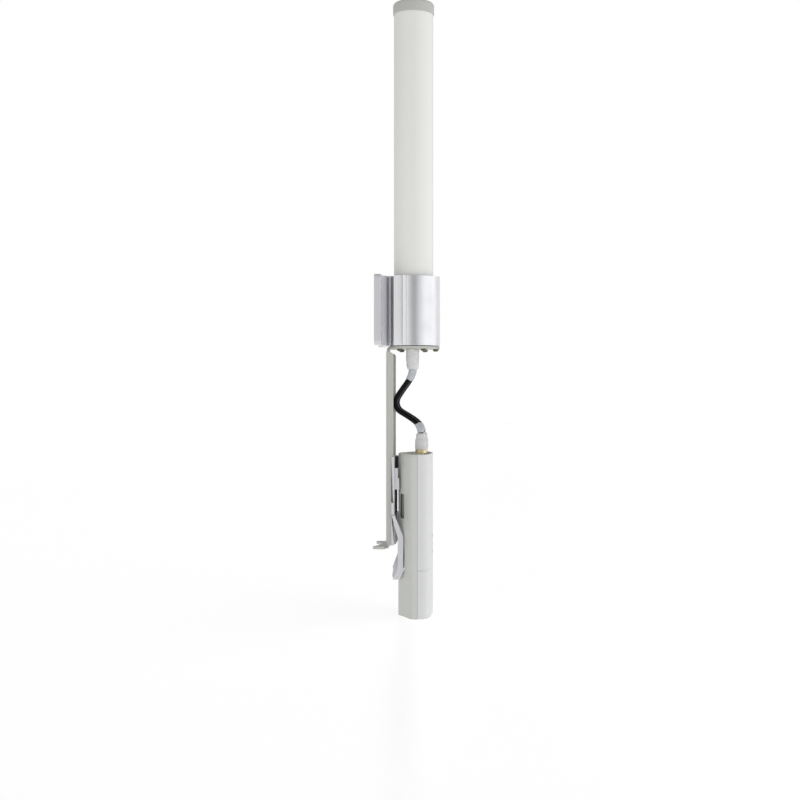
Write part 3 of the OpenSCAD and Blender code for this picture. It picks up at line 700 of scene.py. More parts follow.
def circuit_board(name):
    """Green solder mask over copper tracks."""
    material = new_material(name)
    nodes, links = material.node_tree.nodes, material.node_tree.links

    track_frame = nodes.new("NodeFrame")
    track_frame.label = "Tracks under the mask"

    place = nodes.new("ShaderNodeTexCoord")
    place.label = "Place on the board"
    tracks = nodes.new("ShaderNodeTexBrick")
    tracks.label = "Copper tracks"
    tracks.parent = track_frame
    turn = nodes.new("ShaderNodeMapping")
    turn.label = "Laid on the board's face"
    turn.parent = track_frame
    relief = nodes.new("ShaderNodeBump")
    relief.label = "Track height"
    relief.parent = track_frame
    shader = nodes.new("ShaderNodeBsdfPrincipled")
    shader.label = "Solder mask"
    output = nodes.new("ShaderNodeOutputMaterial")
    output.label = "Surface"

    for node, where in (
        (place, (-900, 0)), (turn, (-700, 0)), (tracks, (-480, 60)), (relief, (-260, -120)),
        (shader, (0, 60)), (output, (300, 60)),
    ):
        node.location = where

    turn.inputs["Rotation"].default_value = (math.radians(90), 0, math.radians(90))
    tracks.inputs["Color1"].default_value = (0.03, 0.14, 0.06, 1)
    tracks.inputs["Color2"].default_value = (0.04, 0.18, 0.08, 1)
    tracks.inputs["Mortar"].default_value = (0.02, 0.09, 0.04, 1)
    tracks.inputs["Scale"].default_value = 160.0
    relief.inputs["Strength"].default_value = 0.2
    relief.inputs["Distance"].default_value = 0.0002
    shader.inputs["Roughness"].default_value = 0.35

    links.new(place.outputs["Object"], turn.inputs["Vector"])
    links.new(turn.outputs["Vector"], tracks.inputs["Vector"])
    links.new(tracks.outputs["Color"], shader.inputs["Base Color"])
    links.new(tracks.outputs["Fac"], relief.inputs["Height"])
    links.new(relief.outputs["Normal"], shader.inputs["Normal"])
    links.new(shader.outputs["BSDF"], output.inputs["Surface"])
    return material


def shade(colour, share):
    """A colour made darker by a share, as a tuple."""
    return tuple(channel * share for channel in colour)


def build_material(slot):
    """The finish of one of the record's material slots."""
    c = colours()
    if slot == "radome_plastic":
        return moulded_plastic(slot, c.radome, shade(c.radome, 0.97), 0.34, 1800, 0.03, 0.6)
    if slot == "cap_plastic":
        return moulded_plastic(slot, c.cap, shade(c.cap, 0.95), 0.40, 2200, 0.05)
    if slot == "mount_plastic":
        return moulded_plastic(slot, c.mount, shade(c.mount, 0.95), 0.50, 2800, 0.16)
    if slot == "rear_shell_plastic":
        return moulded_plastic(slot, c.rear_shell, shade(c.rear_shell, 0.95), 0.48, 2800, 0.14)
    if slot == "front_shell_plastic":
        return moulded_plastic(slot, c.front_shell, shade(c.front_shell, 0.97), 0.40, 2400, 0.08)
    if slot == "inner_plastic":
        return moulded_plastic(slot, (0.72, 0.72, 0.68), (0.66, 0.66, 0.62), 0.5)
    if slot == "switch_plastic":
        return moulded_plastic(slot, (0.03, 0.03, 0.03), (0.02, 0.02, 0.02), 0.45)
    if slot == "button_plastic":
        return moulded_plastic(slot, (0.02, 0.02, 0.022), (0.015, 0.015, 0.015), 0.4)
    if slot == "anodised_aluminium":
        metal = bare_metal(
            slot, (0.90, 0.90, 0.92), (0.84, 0.84, 0.87), 0.17, (1, 1, 0.01), 2600, 0.05, 0.80)
        return collar_zones(metal)
    # The screw steel's dark colour is partly the steel's own tone and partly painted shade for the shadows
    # round the pan heads.
    if slot == "screw_steel":
        return bare_metal(slot, (0.20, 0.18, 0.145), (0.13, 0.12, 0.09), 0.34, (1, 1, 1), 1800, 0.10)
    if slot == "plated_brass":
        return bare_metal(slot, (0.80, 0.70, 0.46), (0.68, 0.57, 0.34), 0.28, (1, 1, 6), 900, 0.10)
    if slot == "plated_steel":
        return bare_metal(slot, (0.72, 0.72, 0.73), (0.60, 0.60, 0.62), 0.26, (1, 1, 6), 900, 0.06)
    if slot == "copper":
        return bare_metal(slot, (0.72, 0.42, 0.26), (0.58, 0.32, 0.20), 0.30, (1, 1, 1), 700, 0.06)
    if slot == "heat_metal":
        return bare_metal(slot, (0.55, 0.55, 0.57), (0.46, 0.46, 0.48), 0.45, (1, 0.05, 1), 900, 0.10)
    if slot == "coated_steel":
        return powder_coat(slot, c.arm, shade(c.arm, 0.93))
    if slot == "black_rubber":
        return black_polymer(slot, (0.018, 0.018, 0.019), 0.62, 1500, 0.1)
    if slot == "cable_jacket":
        return black_polymer(slot, (0.003, 0.003, 0.004), 0.24, 700, 0.0, 0.14)
    if slot == "milky_boot":
        return see_through(slot, (0.98, 0.97, 0.97), (0.95, 0.95, 0.96), 0.34, 0.34, (1, 1, 0.2))
    if slot == "clear_sleeve":
        return see_through(slot, (0.96, 0.98, 1.0), (0.86, 0.90, 1.0), 0.12, 0.50, (1, 1, 0.06))
    if slot == "light_pipe":
        return see_through(slot, (0.85, 0.90, 0.90), (0.75, 0.80, 0.80), 0.30, 0.60, (0.2, 1, 1))
    if slot == "circuit_board":
        return circuit_board(slot)
    raise ValueError("no finish is written for slot " + slot)


def material_for(slot):
    """The slot's finish, made once; the CAD bodies' own plain materials go by the bare slot names."""
    return bpy.data.materials.get(slot + "_finish") or build_material(slot)


# ---------------------------------------------------------------- shapes


def piece_from(name, mesh, body, slot, nodes):
    """Links a mesh as a finished piece that rides on a body and stands for CAD nodes."""
    piece = bpy.data.objects.new(name, mesh)
    bpy.context.scene.collection.objects.link(piece)
    piece.data.materials.clear()
    piece.data.materials.append(material_for(slot))
    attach(piece, body)
    if nodes:
        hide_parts(*nodes)
    return piece


def shade_by_angle(mesh, degrees=32.0):
    """Smooth shading, with edges that bend more than an angle kept sharp."""
    mesh.shade_smooth()
    mesh.set_sharp_from_angle(angle=math.radians(degrees))


def rounded(points, radius, steps=3):
    """A closed outline with each corner rounded by up to radius."""
    result = []
    for i, here in enumerate(points):
        corner = Vector(here)
        before = Vector(points[i - 1]) - corner
        after = Vector(points[(i + 1) % len(points)]) - corner
        if here[0] <= 1e-9:
            result.append(tuple(corner))
            continue
        reach = min(radius, before.length * 0.45, after.length * 0.45)
        start = corner + before.normalized() * reach
        end = corner + after.normalized() * reach
        for k in range(steps + 1):
            t = k / steps
            result.append(tuple(start * (1 - t) ** 2 + corner * 2 * t * (1 - t) + end * t ** 2))
    return result


def turned(name, outline, centre, segments=96):
    """A mesh turned about a vertical axis from a closed outline of radius and height."""
    vertices, faces = [], []
    count = len(outline)
    for k in range(segments):
        angle = 2 * math.pi * k / segments
        for radius, height in outline:
            vertices.append((
                centre[0] + radius * math.cos(angle), centre[1] + radius * math.sin(angle), height))
    for k in range(segments):
        for i in range(count):
            j = (i + 1) % count
            m = (k + 1) % segments
            faces.append((k * count + i, m * count + i, m * count + j, k * count + j))
    mesh = bpy.data.meshes.new(name)
    mesh.from_pydata(vertices, [], faces)
    work = bmesh.new()
    work.from_mesh(mesh)
    bmesh.ops.remove_doubles(work, verts=work.verts, dist=1e-7)
    flat = [face for face in work.faces if face.calc_area() < 1e-14]
    bmesh.ops.delete(work, geom=flat, context="FACES")
    bmesh.ops.recalc_face_normals(work, faces=work.faces)
    work.to_mesh(mesh)
    work.free()
    shade_by_angle(mesh)
    return mesh


def merged_copy(node):
    """A copy of a CAD node's mesh with its loose triangles joined into whole faces."""
    mesh = frame["nodes"][node].data.copy()
    mesh.name = node + "_finished"
    work = bmesh.new()
    work.from_mesh(mesh)
    bmesh.ops.remove_doubles(work, verts=work.verts, dist=2e-6)
    bmesh.ops.dissolve_limit(
        work, angle_limit=math.radians(0.8), verts=work.verts, edges=work.edges)
    work.to_mesh(mesh)
    work.free()
    return mesh


def plain_result(piece):
    """The piece's mesh with its modifiers worked in, as a plain mesh."""
    graph = bpy.context.evaluated_depsgraph_get()
    return bpy.data.meshes.new_from_object(piece.evaluated_get(graph), depsgraph=graph)


def edge_rounded(node, width, name=None, segments=2):
    """A CAD node's shape with its sharp edges rounded."""
    work = bpy.data.objects.new("work_" + node, merged_copy(node))
    shade_by_angle(work.data, 40)
    bpy.context.scene.collection.objects.link(work)
    bevel = work.modifiers.new("edges", "BEVEL")
    bevel.width = width
    bevel.segments = segments
    bevel.limit_method = "ANGLE"
    bevel.angle_limit = math.radians(32)
    bevel.use_clamp_overlap = True
    bevel.harden_normals = False
    even = work.modifiers.new("even_shading", "WEIGHTED_NORMAL")
    even.weight = 80
    even.keep_sharp = True
    mesh = plain_result(work)
    old = work.data
    bpy.data.objects.remove(work)
    bpy.data.meshes.remove(old)
    mesh.name = name or node + "_finished"
    return piece_from(mesh.name, mesh, BODY_OF[node], SLOT_OF[node], [node])


def run_tree(piece, tree, values):
    """Runs a geometry tree on a piece with its named inputs set, and returns the plain mesh."""
    modifier = piece.modifiers.new(tree.name, "NODES")
    modifier.node_group = tree
    for item in tree.interface.items_tree:
        if item.item_type == "SOCKET" and item.in_out == "INPUT" and item.name in values:
            modifier[item.identifier] = values[item.name]
    mesh = plain_result(piece)
    piece.modifiers.remove(modifier)
    return mesh


def screw_tree():
    """A tree that stands a pan head with a hexagon socket on every point of the piece."""
    tree = bpy.data.node_groups.new("pan_head_screws", "GeometryNodeTree")
    face = tree.interface
    face.new_socket("Marks", in_out="INPUT", socket_type="NodeSocketGeometry")
    face.new_socket("Head radius", in_out="INPUT", socket_type="NodeSocketFloat")
    face.new_socket("Head height", in_out="INPUT", socket_type="NodeSocketFloat")
    face.new_socket("Socket radius", in_out="INPUT", socket_type="NodeSocketFloat")
    face.new_socket("Turn", in_out="INPUT", socket_type="NodeSocketVector")
    face.new_socket("Finish", in_out="INPUT", socket_type="NodeSocketMaterial")
    face.new_socket("Screws", in_out="OUTPUT", socket_type="NodeSocketGeometry")
    nodes, links = tree.nodes, tree.links

    given = nodes.new("NodeGroupInput")
    given.label = "Sizes"
    rim = nodes.new("GeometryNodeMeshCylinder")
    rim.label = "Rim of the head"
    rim_height = nodes.new("ShaderNodeMath")
    rim_height.label = "Half of the head's height"
    crown = nodes.new("GeometryNodeMeshCone")
    crown.label = "Crown of the head"
    crown_top = nodes.new("ShaderNodeMath")
    crown_top.label = "Crown narrows"
    rim_place = nodes.new("ShaderNodeCombineXYZ")
    rim_place.label = "Rim starts on the surface"
    rim_shift = nodes.new("GeometryNodeTransform")
    rim_shift.label = "Rim in place"
    quarter = nodes.new("ShaderNodeMath")
    quarter.label = "A quarter of the height"
    crown_place = nodes.new("ShaderNodeCombineXYZ")
    crown_place.label = "Crown starts on the rim"
    crown_shift = nodes.new("GeometryNodeTransform")
    crown_shift.label = "Crown in place"
    together = nodes.new("GeometryNodeMeshBoolean")
    together.label = "Rim and crown"
    socket = nodes.new("GeometryNodeMeshCylinder")
    socket.label = "Hexagon"
    socket_place = nodes.new("ShaderNodeCombineXYZ")
    socket_place.label = "Hexagon at the top"
    socket_shift = nodes.new("GeometryNodeTransform")
    socket_shift.label = "Hexagon in place"
    cut = nodes.new("GeometryNodeMeshBoolean")
    cut.label = "Socket cut"
    points = nodes.new("GeometryNodeMeshToPoints")
    points.label = "Marks as points"
    stand = nodes.new("GeometryNodeInstanceOnPoints")
    stand.label = "A head on each mark"
    to_turn = nodes.new("FunctionNodeEulerToRotation")
    to_turn.label = "Which way the heads face"
    real = nodes.new("GeometryNodeRealizeInstances")
    real.label = "Real meshes"
    dress = nodes.new("GeometryNodeSetMaterial")
    dress.label = "Finish"
    result = nodes.new("NodeGroupOutput")
    result.label = "Screws"

    for k, node in enumerate((
        given, rim_height, quarter, crown_top, rim, crown, rim_place, crown_place, rim_shift, crown_shift,
        together, socket, socket_place, socket_shift, cut, points, to_turn, stand, real, dress, result,
    )):
        node.location = (180 * (k // 2), -220 * (k % 2))

    rim.inputs["Vertices"].default_value = 40
    rim_height.operation = "MULTIPLY"
    rim_height.inputs[1].default_value = 0.5
    quarter.operation = "MULTIPLY"
    quarter.inputs[1].default_value = 0.25
    crown_top.operation = "MULTIPLY"
    crown_top.inputs[1].default_value = 0.66
    crown.inputs["Vertices"].default_value = 40
    together.operation = "UNION"
    cut.operation = "DIFFERENCE"
    socket.inputs["Vertices"].default_value = 6

    links.new(given.outputs["Head height"], rim_height.inputs[0])
    links.new(given.outputs["Head height"], quarter.inputs[0])
    links.new(given.outputs["Head radius"], crown_top.inputs[0])
    links.new(given.outputs["Head radius"], rim.inputs["Radius"])
    links.new(rim_height.outputs[0], rim.inputs["Depth"])
    links.new(given.outputs["Head radius"], crown.inputs["Radius Bottom"])
    links.new(crown_top.outputs[0], crown.inputs["Radius Top"])
    links.new(rim_height.outputs[0], crown.inputs["Depth"])
    links.new(quarter.outputs[0], rim_place.inputs["Z"])
    links.new(rim.outputs["Mesh"], rim_shift.inputs["Geometry"])
    links.new(rim_place.outputs["Vector"], rim_shift.inputs["Translation"])
    links.new(rim_height.outputs[0], crown_place.inputs["Z"])
    links.new(crown.outputs["Mesh"], crown_shift.inputs["Geometry"])
    links.new(crown_place.outputs["Vector"], crown_shift.inputs["Translation"])
    links.new(rim_shift.outputs["Geometry"], together.inputs["Mesh 2"])
    links.new(crown_shift.outputs["Geometry"], together.inputs["Mesh 2"])
    links.new(given.outputs["Socket radius"], socket.inputs["Radius"])
    links.new(given.outputs["Head height"], socket.inputs["Depth"])
    links.new(given.outputs["Head height"], socket_place.inputs["Z"])
    links.new(socket.outputs["Mesh"], socket_shift.inputs["Geometry"])
    links.new(socket_place.outputs["Vector"], socket_shift.inputs["Translation"])
    links.new(together.outputs["Mesh"], cut.inputs["Mesh 1"])
    links.new(socket_shift.outputs["Geometry"], cut.inputs["Mesh 2"])
    links.new(given.outputs["Marks"], points.inputs["Mesh"])
    links.new(points.outputs["Points"], stand.inputs["Points"])
    links.new(cut.outputs["Mesh"], stand.inputs["Instance"])
    links.new(given.outputs["Turn"], to_turn.inputs["Euler"])
    links.new(to_turn.outputs["Rotation"], stand.inputs["Rotation"])
    links.new(stand.outputs["Instances"], real.inputs["Geometry"])
    links.new(real.outputs["Geometry"], dress.inputs["Geometry"])
    links.new(given.outputs["Finish"], dress.inputs["Material"])
    links.new(dress.outputs["Geometry"], result.inputs["Screws"])
    return tree


def screw_heads(name, marks, turn, head_radius, head_height, socket_radius, node):
    """Pan heads on a list of marks, as one piece that stands for a CAD node."""
    mesh = bpy.data.meshes.new(name + "_marks")
    mesh.from_pydata(marks, [], [])
    seed = bpy.data.objects.new(name + "_marks", mesh)
    bpy.context.scene.collection.objects.link(seed)
    tree = bpy.data.node_groups.get("pan_head_screws") or screw_tree()
    heads = run_tree(seed, tree, {
        "Head radius": head_radius, "Head height": head_height, "Socket radius": socket_radius,
        "Turn": turn, "Finish": material_for(SLOT_OF[node])})
    bpy.data.objects.remove(seed)
    heads.name = name
    shade_by_angle(heads, 25)
    return piece_from(name, heads, BODY_OF[node], SLOT_OF[node], [node])


# ---------------------------------------------------------------- operators


class ANTENNA_OT_stage(bpy.types.Operator):
    """Sets up the camera, the floor, the lights and the world"""

    bl_idname = "antenna.stage"
    bl_label = "Stage"

    def execute(self, context):
        scene = context.scene
        stage = scene.antenna_stage
        turn = stage.view_turn
        right = Vector((math.cos(turn), math.sin(turn), 0))
        ahead = Vector((-math.sin(turn), math.cos(turn), 0))
        camera_data = bpy.data.cameras.new("view")
        camera_data.sensor_width = 36.0
        camera_data.lens = 60.5
        camera_data.shift_y = -0.00625
        camera_data.clip_start = 0.05
        camera = bpy.data.objects.new("view", camera_data)
        spot = Vector((TUBE_AXIS.x, 0, RADIO_LOW.z + stage.view_height))
        camera.location = spot - ahead * stage.view_distance - right * stage.view_aside
        camera.rotation_euler = (math.radians(90), 0, turn)
        scene.collection.objects.link(camera)
        scene.camera = camera

        self.floor(scene)
        self.light(scene, "front_side_light", (1.05, -1.15, 0.25), 1.3, stage.key_power,
                   in_reflections=False)
        self.light(scene, "edge_light", (1.45, 0.55, 0.2), 0.9, stage.edge_power)
        self.light(scene, "pole_side_light", (-1.25, -0.9, 0.15), 1.1, stage.fill_power)
        self.light(scene, "top_light", (0.1, -0.3, 1.6), 1.2, stage.top_power)
        self.light(scene, "viewer_side_light", (-0.15, -1.6, 0.3), 1.4, stage.viewer_power,
                   in_reflections=False)
        self.world(scene, stage)
        scene.view_settings.view_transform = "Standard"
        scene.view_settings.look = "None"
        return {"FINISHED"}

    def floor(self, scene):
        """A wide pale disc just under the object."""
        mesh = bpy.data.meshes.new("floor")
        work = bmesh.new()
        bmesh.ops.create_circle(work, cap_ends=True, segments=96, radius=9.0)
        work.to_mesh(mesh)
        work.free()
        floor = bpy.data.objects.new("floor", mesh)
        floor.location = (TUBE_AXIS.x, 0, CAD_LOW.z - 0.0006)
        material = new_material("pale_floor")
        nodes, links = material.node_tree.nodes, material.node_tree.links
        shader = nodes.new("ShaderNodeBsdfPrincipled")
        shader.label = "Pale floor"
        output = nodes.new("ShaderNodeOutputMaterial")
        output.label = "Surface"
        output.location = (300, 0)
        shader.inputs["Base Color"].default_value = (0.90, 0.90, 0.90, 1)
        shader.inputs["Roughness"].default_value = 0.22
        shader.inputs["Emission Color"].default_value = (1, 1, 1, 1)
        shader.inputs["Emission Strength"].default_value = 0.50
        shader.inputs["Specular IOR Level"].default_value = 0.25
        links.new(shader.outputs["BSDF"], output.inputs["Surface"])
        mesh.materials.append(material)
        scene.collection.objects.link(floor)

    def light(self, scene, name, place, size, power, in_reflections=True):
        """A rectangular light that faces the antenna."""
        data = bpy.data.lights.new(name, "AREA")
        data.shape = "RECTANGLE"
        data.size = size
        data.size_y = size * 1.2
        data.energy = power
        lamp = bpy.data.objects.new(name, data)
        lamp.location = Vector(place)
        target = Vector((TUBE_AXIS.x, 0, 0))
        lamp.rotation_euler = (target - lamp.location).to_track_quat("-Z", "Y").to_euler()
        lamp.visible_camera = False
        lamp.visible_glossy = in_reflections
        scene.collection.objects.link(lamp)

    def world(self, scene, stage):
        """Pale panels round the room for light and reflections, and a white backdrop."""
        world = bpy.data.worlds.new("studio")
        world.use_nodes = True
        nodes, links = world.node_tree.nodes, world.node_tree.links
        nodes.clear()
        path = nodes.new("ShaderNodeLightPath")
        path.label = "What sees the world"
        room = nodes.new("ShaderNodeBackground")
        room.label = "Soft light from the room"
        room.location = (0, -160)
        backdrop = nodes.new("ShaderNodeBackground")
        backdrop.label = "White backdrop"
        backdrop.location = (0, -320)
        mix = nodes.new("ShaderNodeMixShader")
        mix.label = "Backdrop behind the object"
        mix.location = (240, 0)
        output = nodes.new("ShaderNodeOutputWorld")
        output.label = "World"
        output.location = (460, 0)
        way = nodes.new("ShaderNodeTexCoord")
        way.label = "Direction in the room"
        split = nodes.new("ShaderNodeSeparateXYZ")
        split.label = "Across, ahead and up"
        toward = nodes.new("ShaderNodeMath")
        toward.label = "Towards the viewer"
        toward.operation = "MULTIPLY"
        toward.inputs[1].default_value = -1
        bearing = nodes.new("ShaderNodeMath")
        bearing.label = "Bearing round the room"
        bearing.operation = "ARCTAN2"
        share = nodes.new("ShaderNodeMapRange")
        share.label = "Bearing as a share"
        share.inputs["From Min"].default_value = -math.pi
        share.inputs["From Max"].default_value = math.pi
        panels = nodes.new("ShaderNodeValToRGB")
        panels.label = "Panels round the room"
        height = nodes.new("ShaderNodeMapRange")
        height.label = "Darker ceiling"
        height.inputs["From Min"].default_value = 0.25
        height.inputs["From Max"].default_value = 0.85
        height.inputs["To Min"].default_value = 1.0
        height.inputs["To Max"].default_value = stage.ceiling
        lit = nodes.new("ShaderNodeVectorMath")
        lit.label = "Panels under the ceiling"
        lit.operation = "SCALE"
        stops = (
            (-180, 0.60), (-110, 0.56), (-60, 0.66), (-22, 0.80), (-8, 0.40), (9, 0.26), (28, 0.66),
            (48, 0.98), (66, 1.14), (124, 1.14), (150, 0.66), (180, 0.58))
        ramp = panels.color_ramp
        for degrees, tone in stops[1:-1]:
            ramp.elements.new((degrees + 180) / 360).color = (tone * 0.985, tone * 0.99, tone, 1)
        for element, (degrees, tone) in zip((ramp.elements[0], ramp.elements[-1]), (stops[0], stops[-1])):
            element.color = (tone, tone, tone, 1)
        for node, where in (
            (way, (-1300, 0)), (split, (-1120, 0)), (toward, (-940, -80)), (bearing, (-760, 0)),
            (share, (-580, 0)), (panels, (-400, 0)), (height, (-580, -260)), (lit, (-160, -160)),
        ):
            node.location = where
        links.new(way.outputs["Generated"], split.inputs["Vector"])
        links.new(split.outputs["Y"], toward.inputs[0])
        links.new(split.outputs["X"], bearing.inputs[0])
        links.new(toward.outputs[0], bearing.inputs[1])
        links.new(bearing.outputs[0], share.inputs["Value"])
        links.new(share.outputs["Result"], panels.inputs["Fac"])
        links.new(split.outputs["Z"], height.inputs["Value"])
        links.new(panels.outputs["Color"], lit.inputs["Vector"])
        links.new(height.outputs["Result"], lit.inputs["Scale"])
        links.new(lit.outputs["Vector"], room.inputs["Color"])
        room.inputs["Strength"].default_value = stage.room_light
        backdrop.inputs["Color"].default_value = (1, 1, 1, 1)
        backdrop.inputs["Strength"].default_value = 1.0
        links.new(path.outputs["Is Camera Ray"], mix.inputs["Fac"])
        links.new(room.outputs["Background"], mix.inputs[1])
        links.new(backdrop.outputs["Background"], mix.inputs[2])
        links.new(mix.outputs["Shader"], output.inputs["Surface"])
        scene.world = world


class ANTENNA_OT_jumpers(bpy.types.Operator):
    """Makes the two jumper cables and the clear sleeves on their ends"""

    bl_idname = "antenna.jumpers"
    bl_label = "Jumper cables"

    def route(self, side):
        """The points of one jumper, from the antenna's plug down to the radio's."""
        drop = (UPPER_PLUG_END - LOWER_PLUG_END) / JUMPER_ROUTE[0][2]
        return [
            Vector((TUBE_AXIS.x + x, side * (ANTENNA_JACK_Y + share * (RADIO_JACK_Y - ANTENNA_JACK_Y)),
                    LOWER_PLUG_END + height * drop))
            for x, share, height in JUMPER_ROUTE]

    def length(self, spline):
        """The curve's length, summed over short steps of each of its bends."""
        total = 0.0
        points = spline.bezier_points
        for here, there in zip(points[:-1], points[1:]):
            last = here.co
            for k in range(1, 33):
                t = k / 32
                now = (here.co * (1 - t) ** 3 + here.handle_right * 3 * t * (1 - t) ** 2
                       + there.handle_left * 3 * t * t * (1 - t) + there.co * t ** 3)
                total += (now - last).length
                last = now
        return total

    def smooth_curve(self, name, points, radius):
        """A round curve through the points that ends upright, with its one spline."""
        curve = bpy.data.curves.new(name, "CURVE")
        curve.dimensions = "3D"
        curve.resolution_u = 10
        curve.bevel_depth = radius
        curve.bevel_resolution = 6
        curve.use_fill_caps = True
        spline = curve.splines.new("BEZIER")
        spline.bezier_points.add(len(points) - 1)
        for i, knot in enumerate(spline.bezier_points):
            before = points[max(0, i - 1)]
            after = points[min(len(points) - 1, i + 1)]
            heading = (after - before).normalized()
            if i == 0 or i == len(points) - 1:
                heading = Vector((0, 0, -1))
            knot.co = points[i]
            knot.handle_left = points[i] - heading * (points[i] - before).length / 3
            knot.handle_right = points[i] + heading * (after - points[i]).length / 3
        return curve, spline

    def execute(self, context):
        width = sizes().cable_diameter
        for letter, side in SIDES.items():
            points = self.route(side)
            curve, spline = self.smooth_curve("jumper_" + letter, points, width / 2)
            cable = bpy.data.objects.new("jumper_" + letter, curve)
            context.scene.collection.objects.link(cable)
            curve.materials.append(material_for("cable_jacket"))
            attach(cable, "antenna")
            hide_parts("jumper_cable_" + letter)
            sleeves = [
                self.sleeve("upper", letter, points[0:4], 3.5 * MM, 2.95 * MM, width),
                self.sleeve("lower", letter, points[16:20], 2.95 * MM, 3.5 * MM, width)]
        return {"FINISHED"}

    def sleeve(self, end, letter, points, first_radius, last_radius, width):
        """A thin clear tube round the cable, along a few of its points."""
        name = end + "_clear_sleeve_" + letter
        knots = []
        for i in range(len(points) - 1):
            for k in range(4):
                knots.append(points[i].lerp(points[i + 1], k / 4))
        knots.append(points[-1])
        for _ in range(3):
            inner = [knots[0]]
            for i in range(1, len(knots) - 1):
                inner.append((knots[i - 1] + knots[i] * 2 + knots[i + 1]) / 4)
            knots = inner + [knots[-1]]
        sides = 40
        vertices, faces = [], []
        rings = []
        for i, knot in enumerate(knots):
            share = i / (len(knots) - 1)
            rings.append((knot, i, first_radius + (last_radius - first_radius) * share))
        for i, knot in reversed(list(enumerate(knots))):
            rings.append((knot, i, width / 2 + 0.06 * MM))
        for knot, i, radius in rings:
            ahead = (knots[min(i + 1, len(knots) - 1)] - knots[max(i - 1, 0)]).normalized()
            across = Vector((0, 1, 0)).cross(ahead).normalized()
            beside = ahead.cross(across)
            for k in range(sides):
                angle = 2 * math.pi * k / sides
                vertices.append(knot + (across * math.cos(angle) + beside * math.sin(angle)) * radius)
        for r in range(len(rings)):
            s = (r + 1) % len(rings)
            for k in range(sides):
                n = (k + 1) % sides
                faces.append((r * sides + k, s * sides + k, s * sides + n, r * sides + n))
        mesh = bpy.data.meshes.new(name)
        mesh.from_pydata(vertices, [], faces)
        work = bmesh.new()
        work.from_mesh(mesh)
        bmesh.ops.recalc_face_normals(work, faces=work.faces)
        work.to_mesh(mesh)
        work.free()
        shade_by_angle(mesh, 50)
        return piece_from(name, mesh, "antenna", "clear_sleeve", [end + "_sleeve_" + letter])


class ANTENNA_OT_radome(bpy.types.Operator):
    """Turns the radome tube and its top cap"""

    bl_idname = "antenna.radome"
    bl_label = "Radome and cap"

    def execute(self, context):
        low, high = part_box("radome_tube")
        radius = (high.x - low.x) / 2
        wall = 2.2 * MM
        tube = rounded([
            (radius, low.z), (radius, high.z), (radius - wall, high.z), (radius - wall, low.z)], 0.3 * MM)
        mesh = turned("radome", tube, TUBE_AXIS, 160)
        piece_from("radome", mesh, "antenna", "radome_plastic", ["radome_tube"])

        low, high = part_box("top_cap")
        rim = (high.x - low.x) / 2
        base = low.z
        flat = high.z - 0.7 * MM
        bend = 3.0 * MM
        crown = [
            (radius + 0.1 * MM, base), (rim - 0.5 * MM, base), (rim, base + 0.5 * MM), (rim, flat - bend)]
        for k in range(1, 9):
            angle = math.radians(90 * k / 8)
            crown.append((rim - bend + bend * math.cos(angle), flat - bend + bend * math.sin(angle)))
        crown += [
            (9.9 * MM, flat), (9.3 * MM, high.z), (2.2 * MM, high.z), (1.6 * MM, high.z - 0.4 * MM),
            (0, high.z - 0.5 * MM), (0, flat - 2.2 * MM), (13 * MM, flat - 2.2 * MM),
            (13 * MM, base + 2 * MM), (15 * MM, base + 2 * MM), (15 * MM, base + 6.1 * MM),
            (radius + 0.1 * MM, base + 6.1 * MM)]
        piece_from("cap", turned("cap", crown, TUBE_AXIS, 160), "antenna", "cap_plastic", ["top_cap"])
        return {"FINISHED"}


class ANTENNA_OT_collar(bpy.types.Operator):
    """Finishes the aluminium collar, its seal and its gasket"""

    bl_idname = "antenna.collar"
    bl_label = "Collar"

    def execute(self, context):
        edge_rounded("base_extrusion", sizes().metal_edge, "collar")
        edge_rounded("base_gasket", 0.12 * MM, "collar_gasket", 1)
        low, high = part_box("tube_seal")
        outer = (high.x - low.x) / 2
        inner = 19.68 * MM
        ring = rounded([(inner, low.z), (outer, low.z), (outer, high.z), (inner, high.z)], 0.5 * MM, 4)
        piece_from("collar_seal", turned("collar_seal", ring, TUBE_AXIS, 128), "antenna",
                   SLOT_OF["tube_seal"], ["tube_seal"])
        return {"FINISHED"}


class ANTENNA_OT_arm(bpy.types.Operator):
    """Finishes the bent arm and the screws that hold it to the collar"""

    bl_idname = "antenna.arm"
    bl_label = "Arm and screws"

    def execute(self, context):
        edge_rounded("bracket_arm", sizes().metal_edge, "arm")
        plate_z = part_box("base_gasket")[0].z - 2.5 * MM
        ring = 22.15 * MM
        marks = []
        for degrees in (0, 61, -61, 125, -125):
            angle = math.radians(degrees)
            marks.append((TUBE_AXIS.x + ring * math.cos(angle), ring * math.sin(angle), plate_z))
        screw_heads("collar_screws", marks, (math.pi, 0, 0), 2.9 * MM, 2.3 * MM, 1.2 * MM, "base_screws")
        return {"FINISHED"}


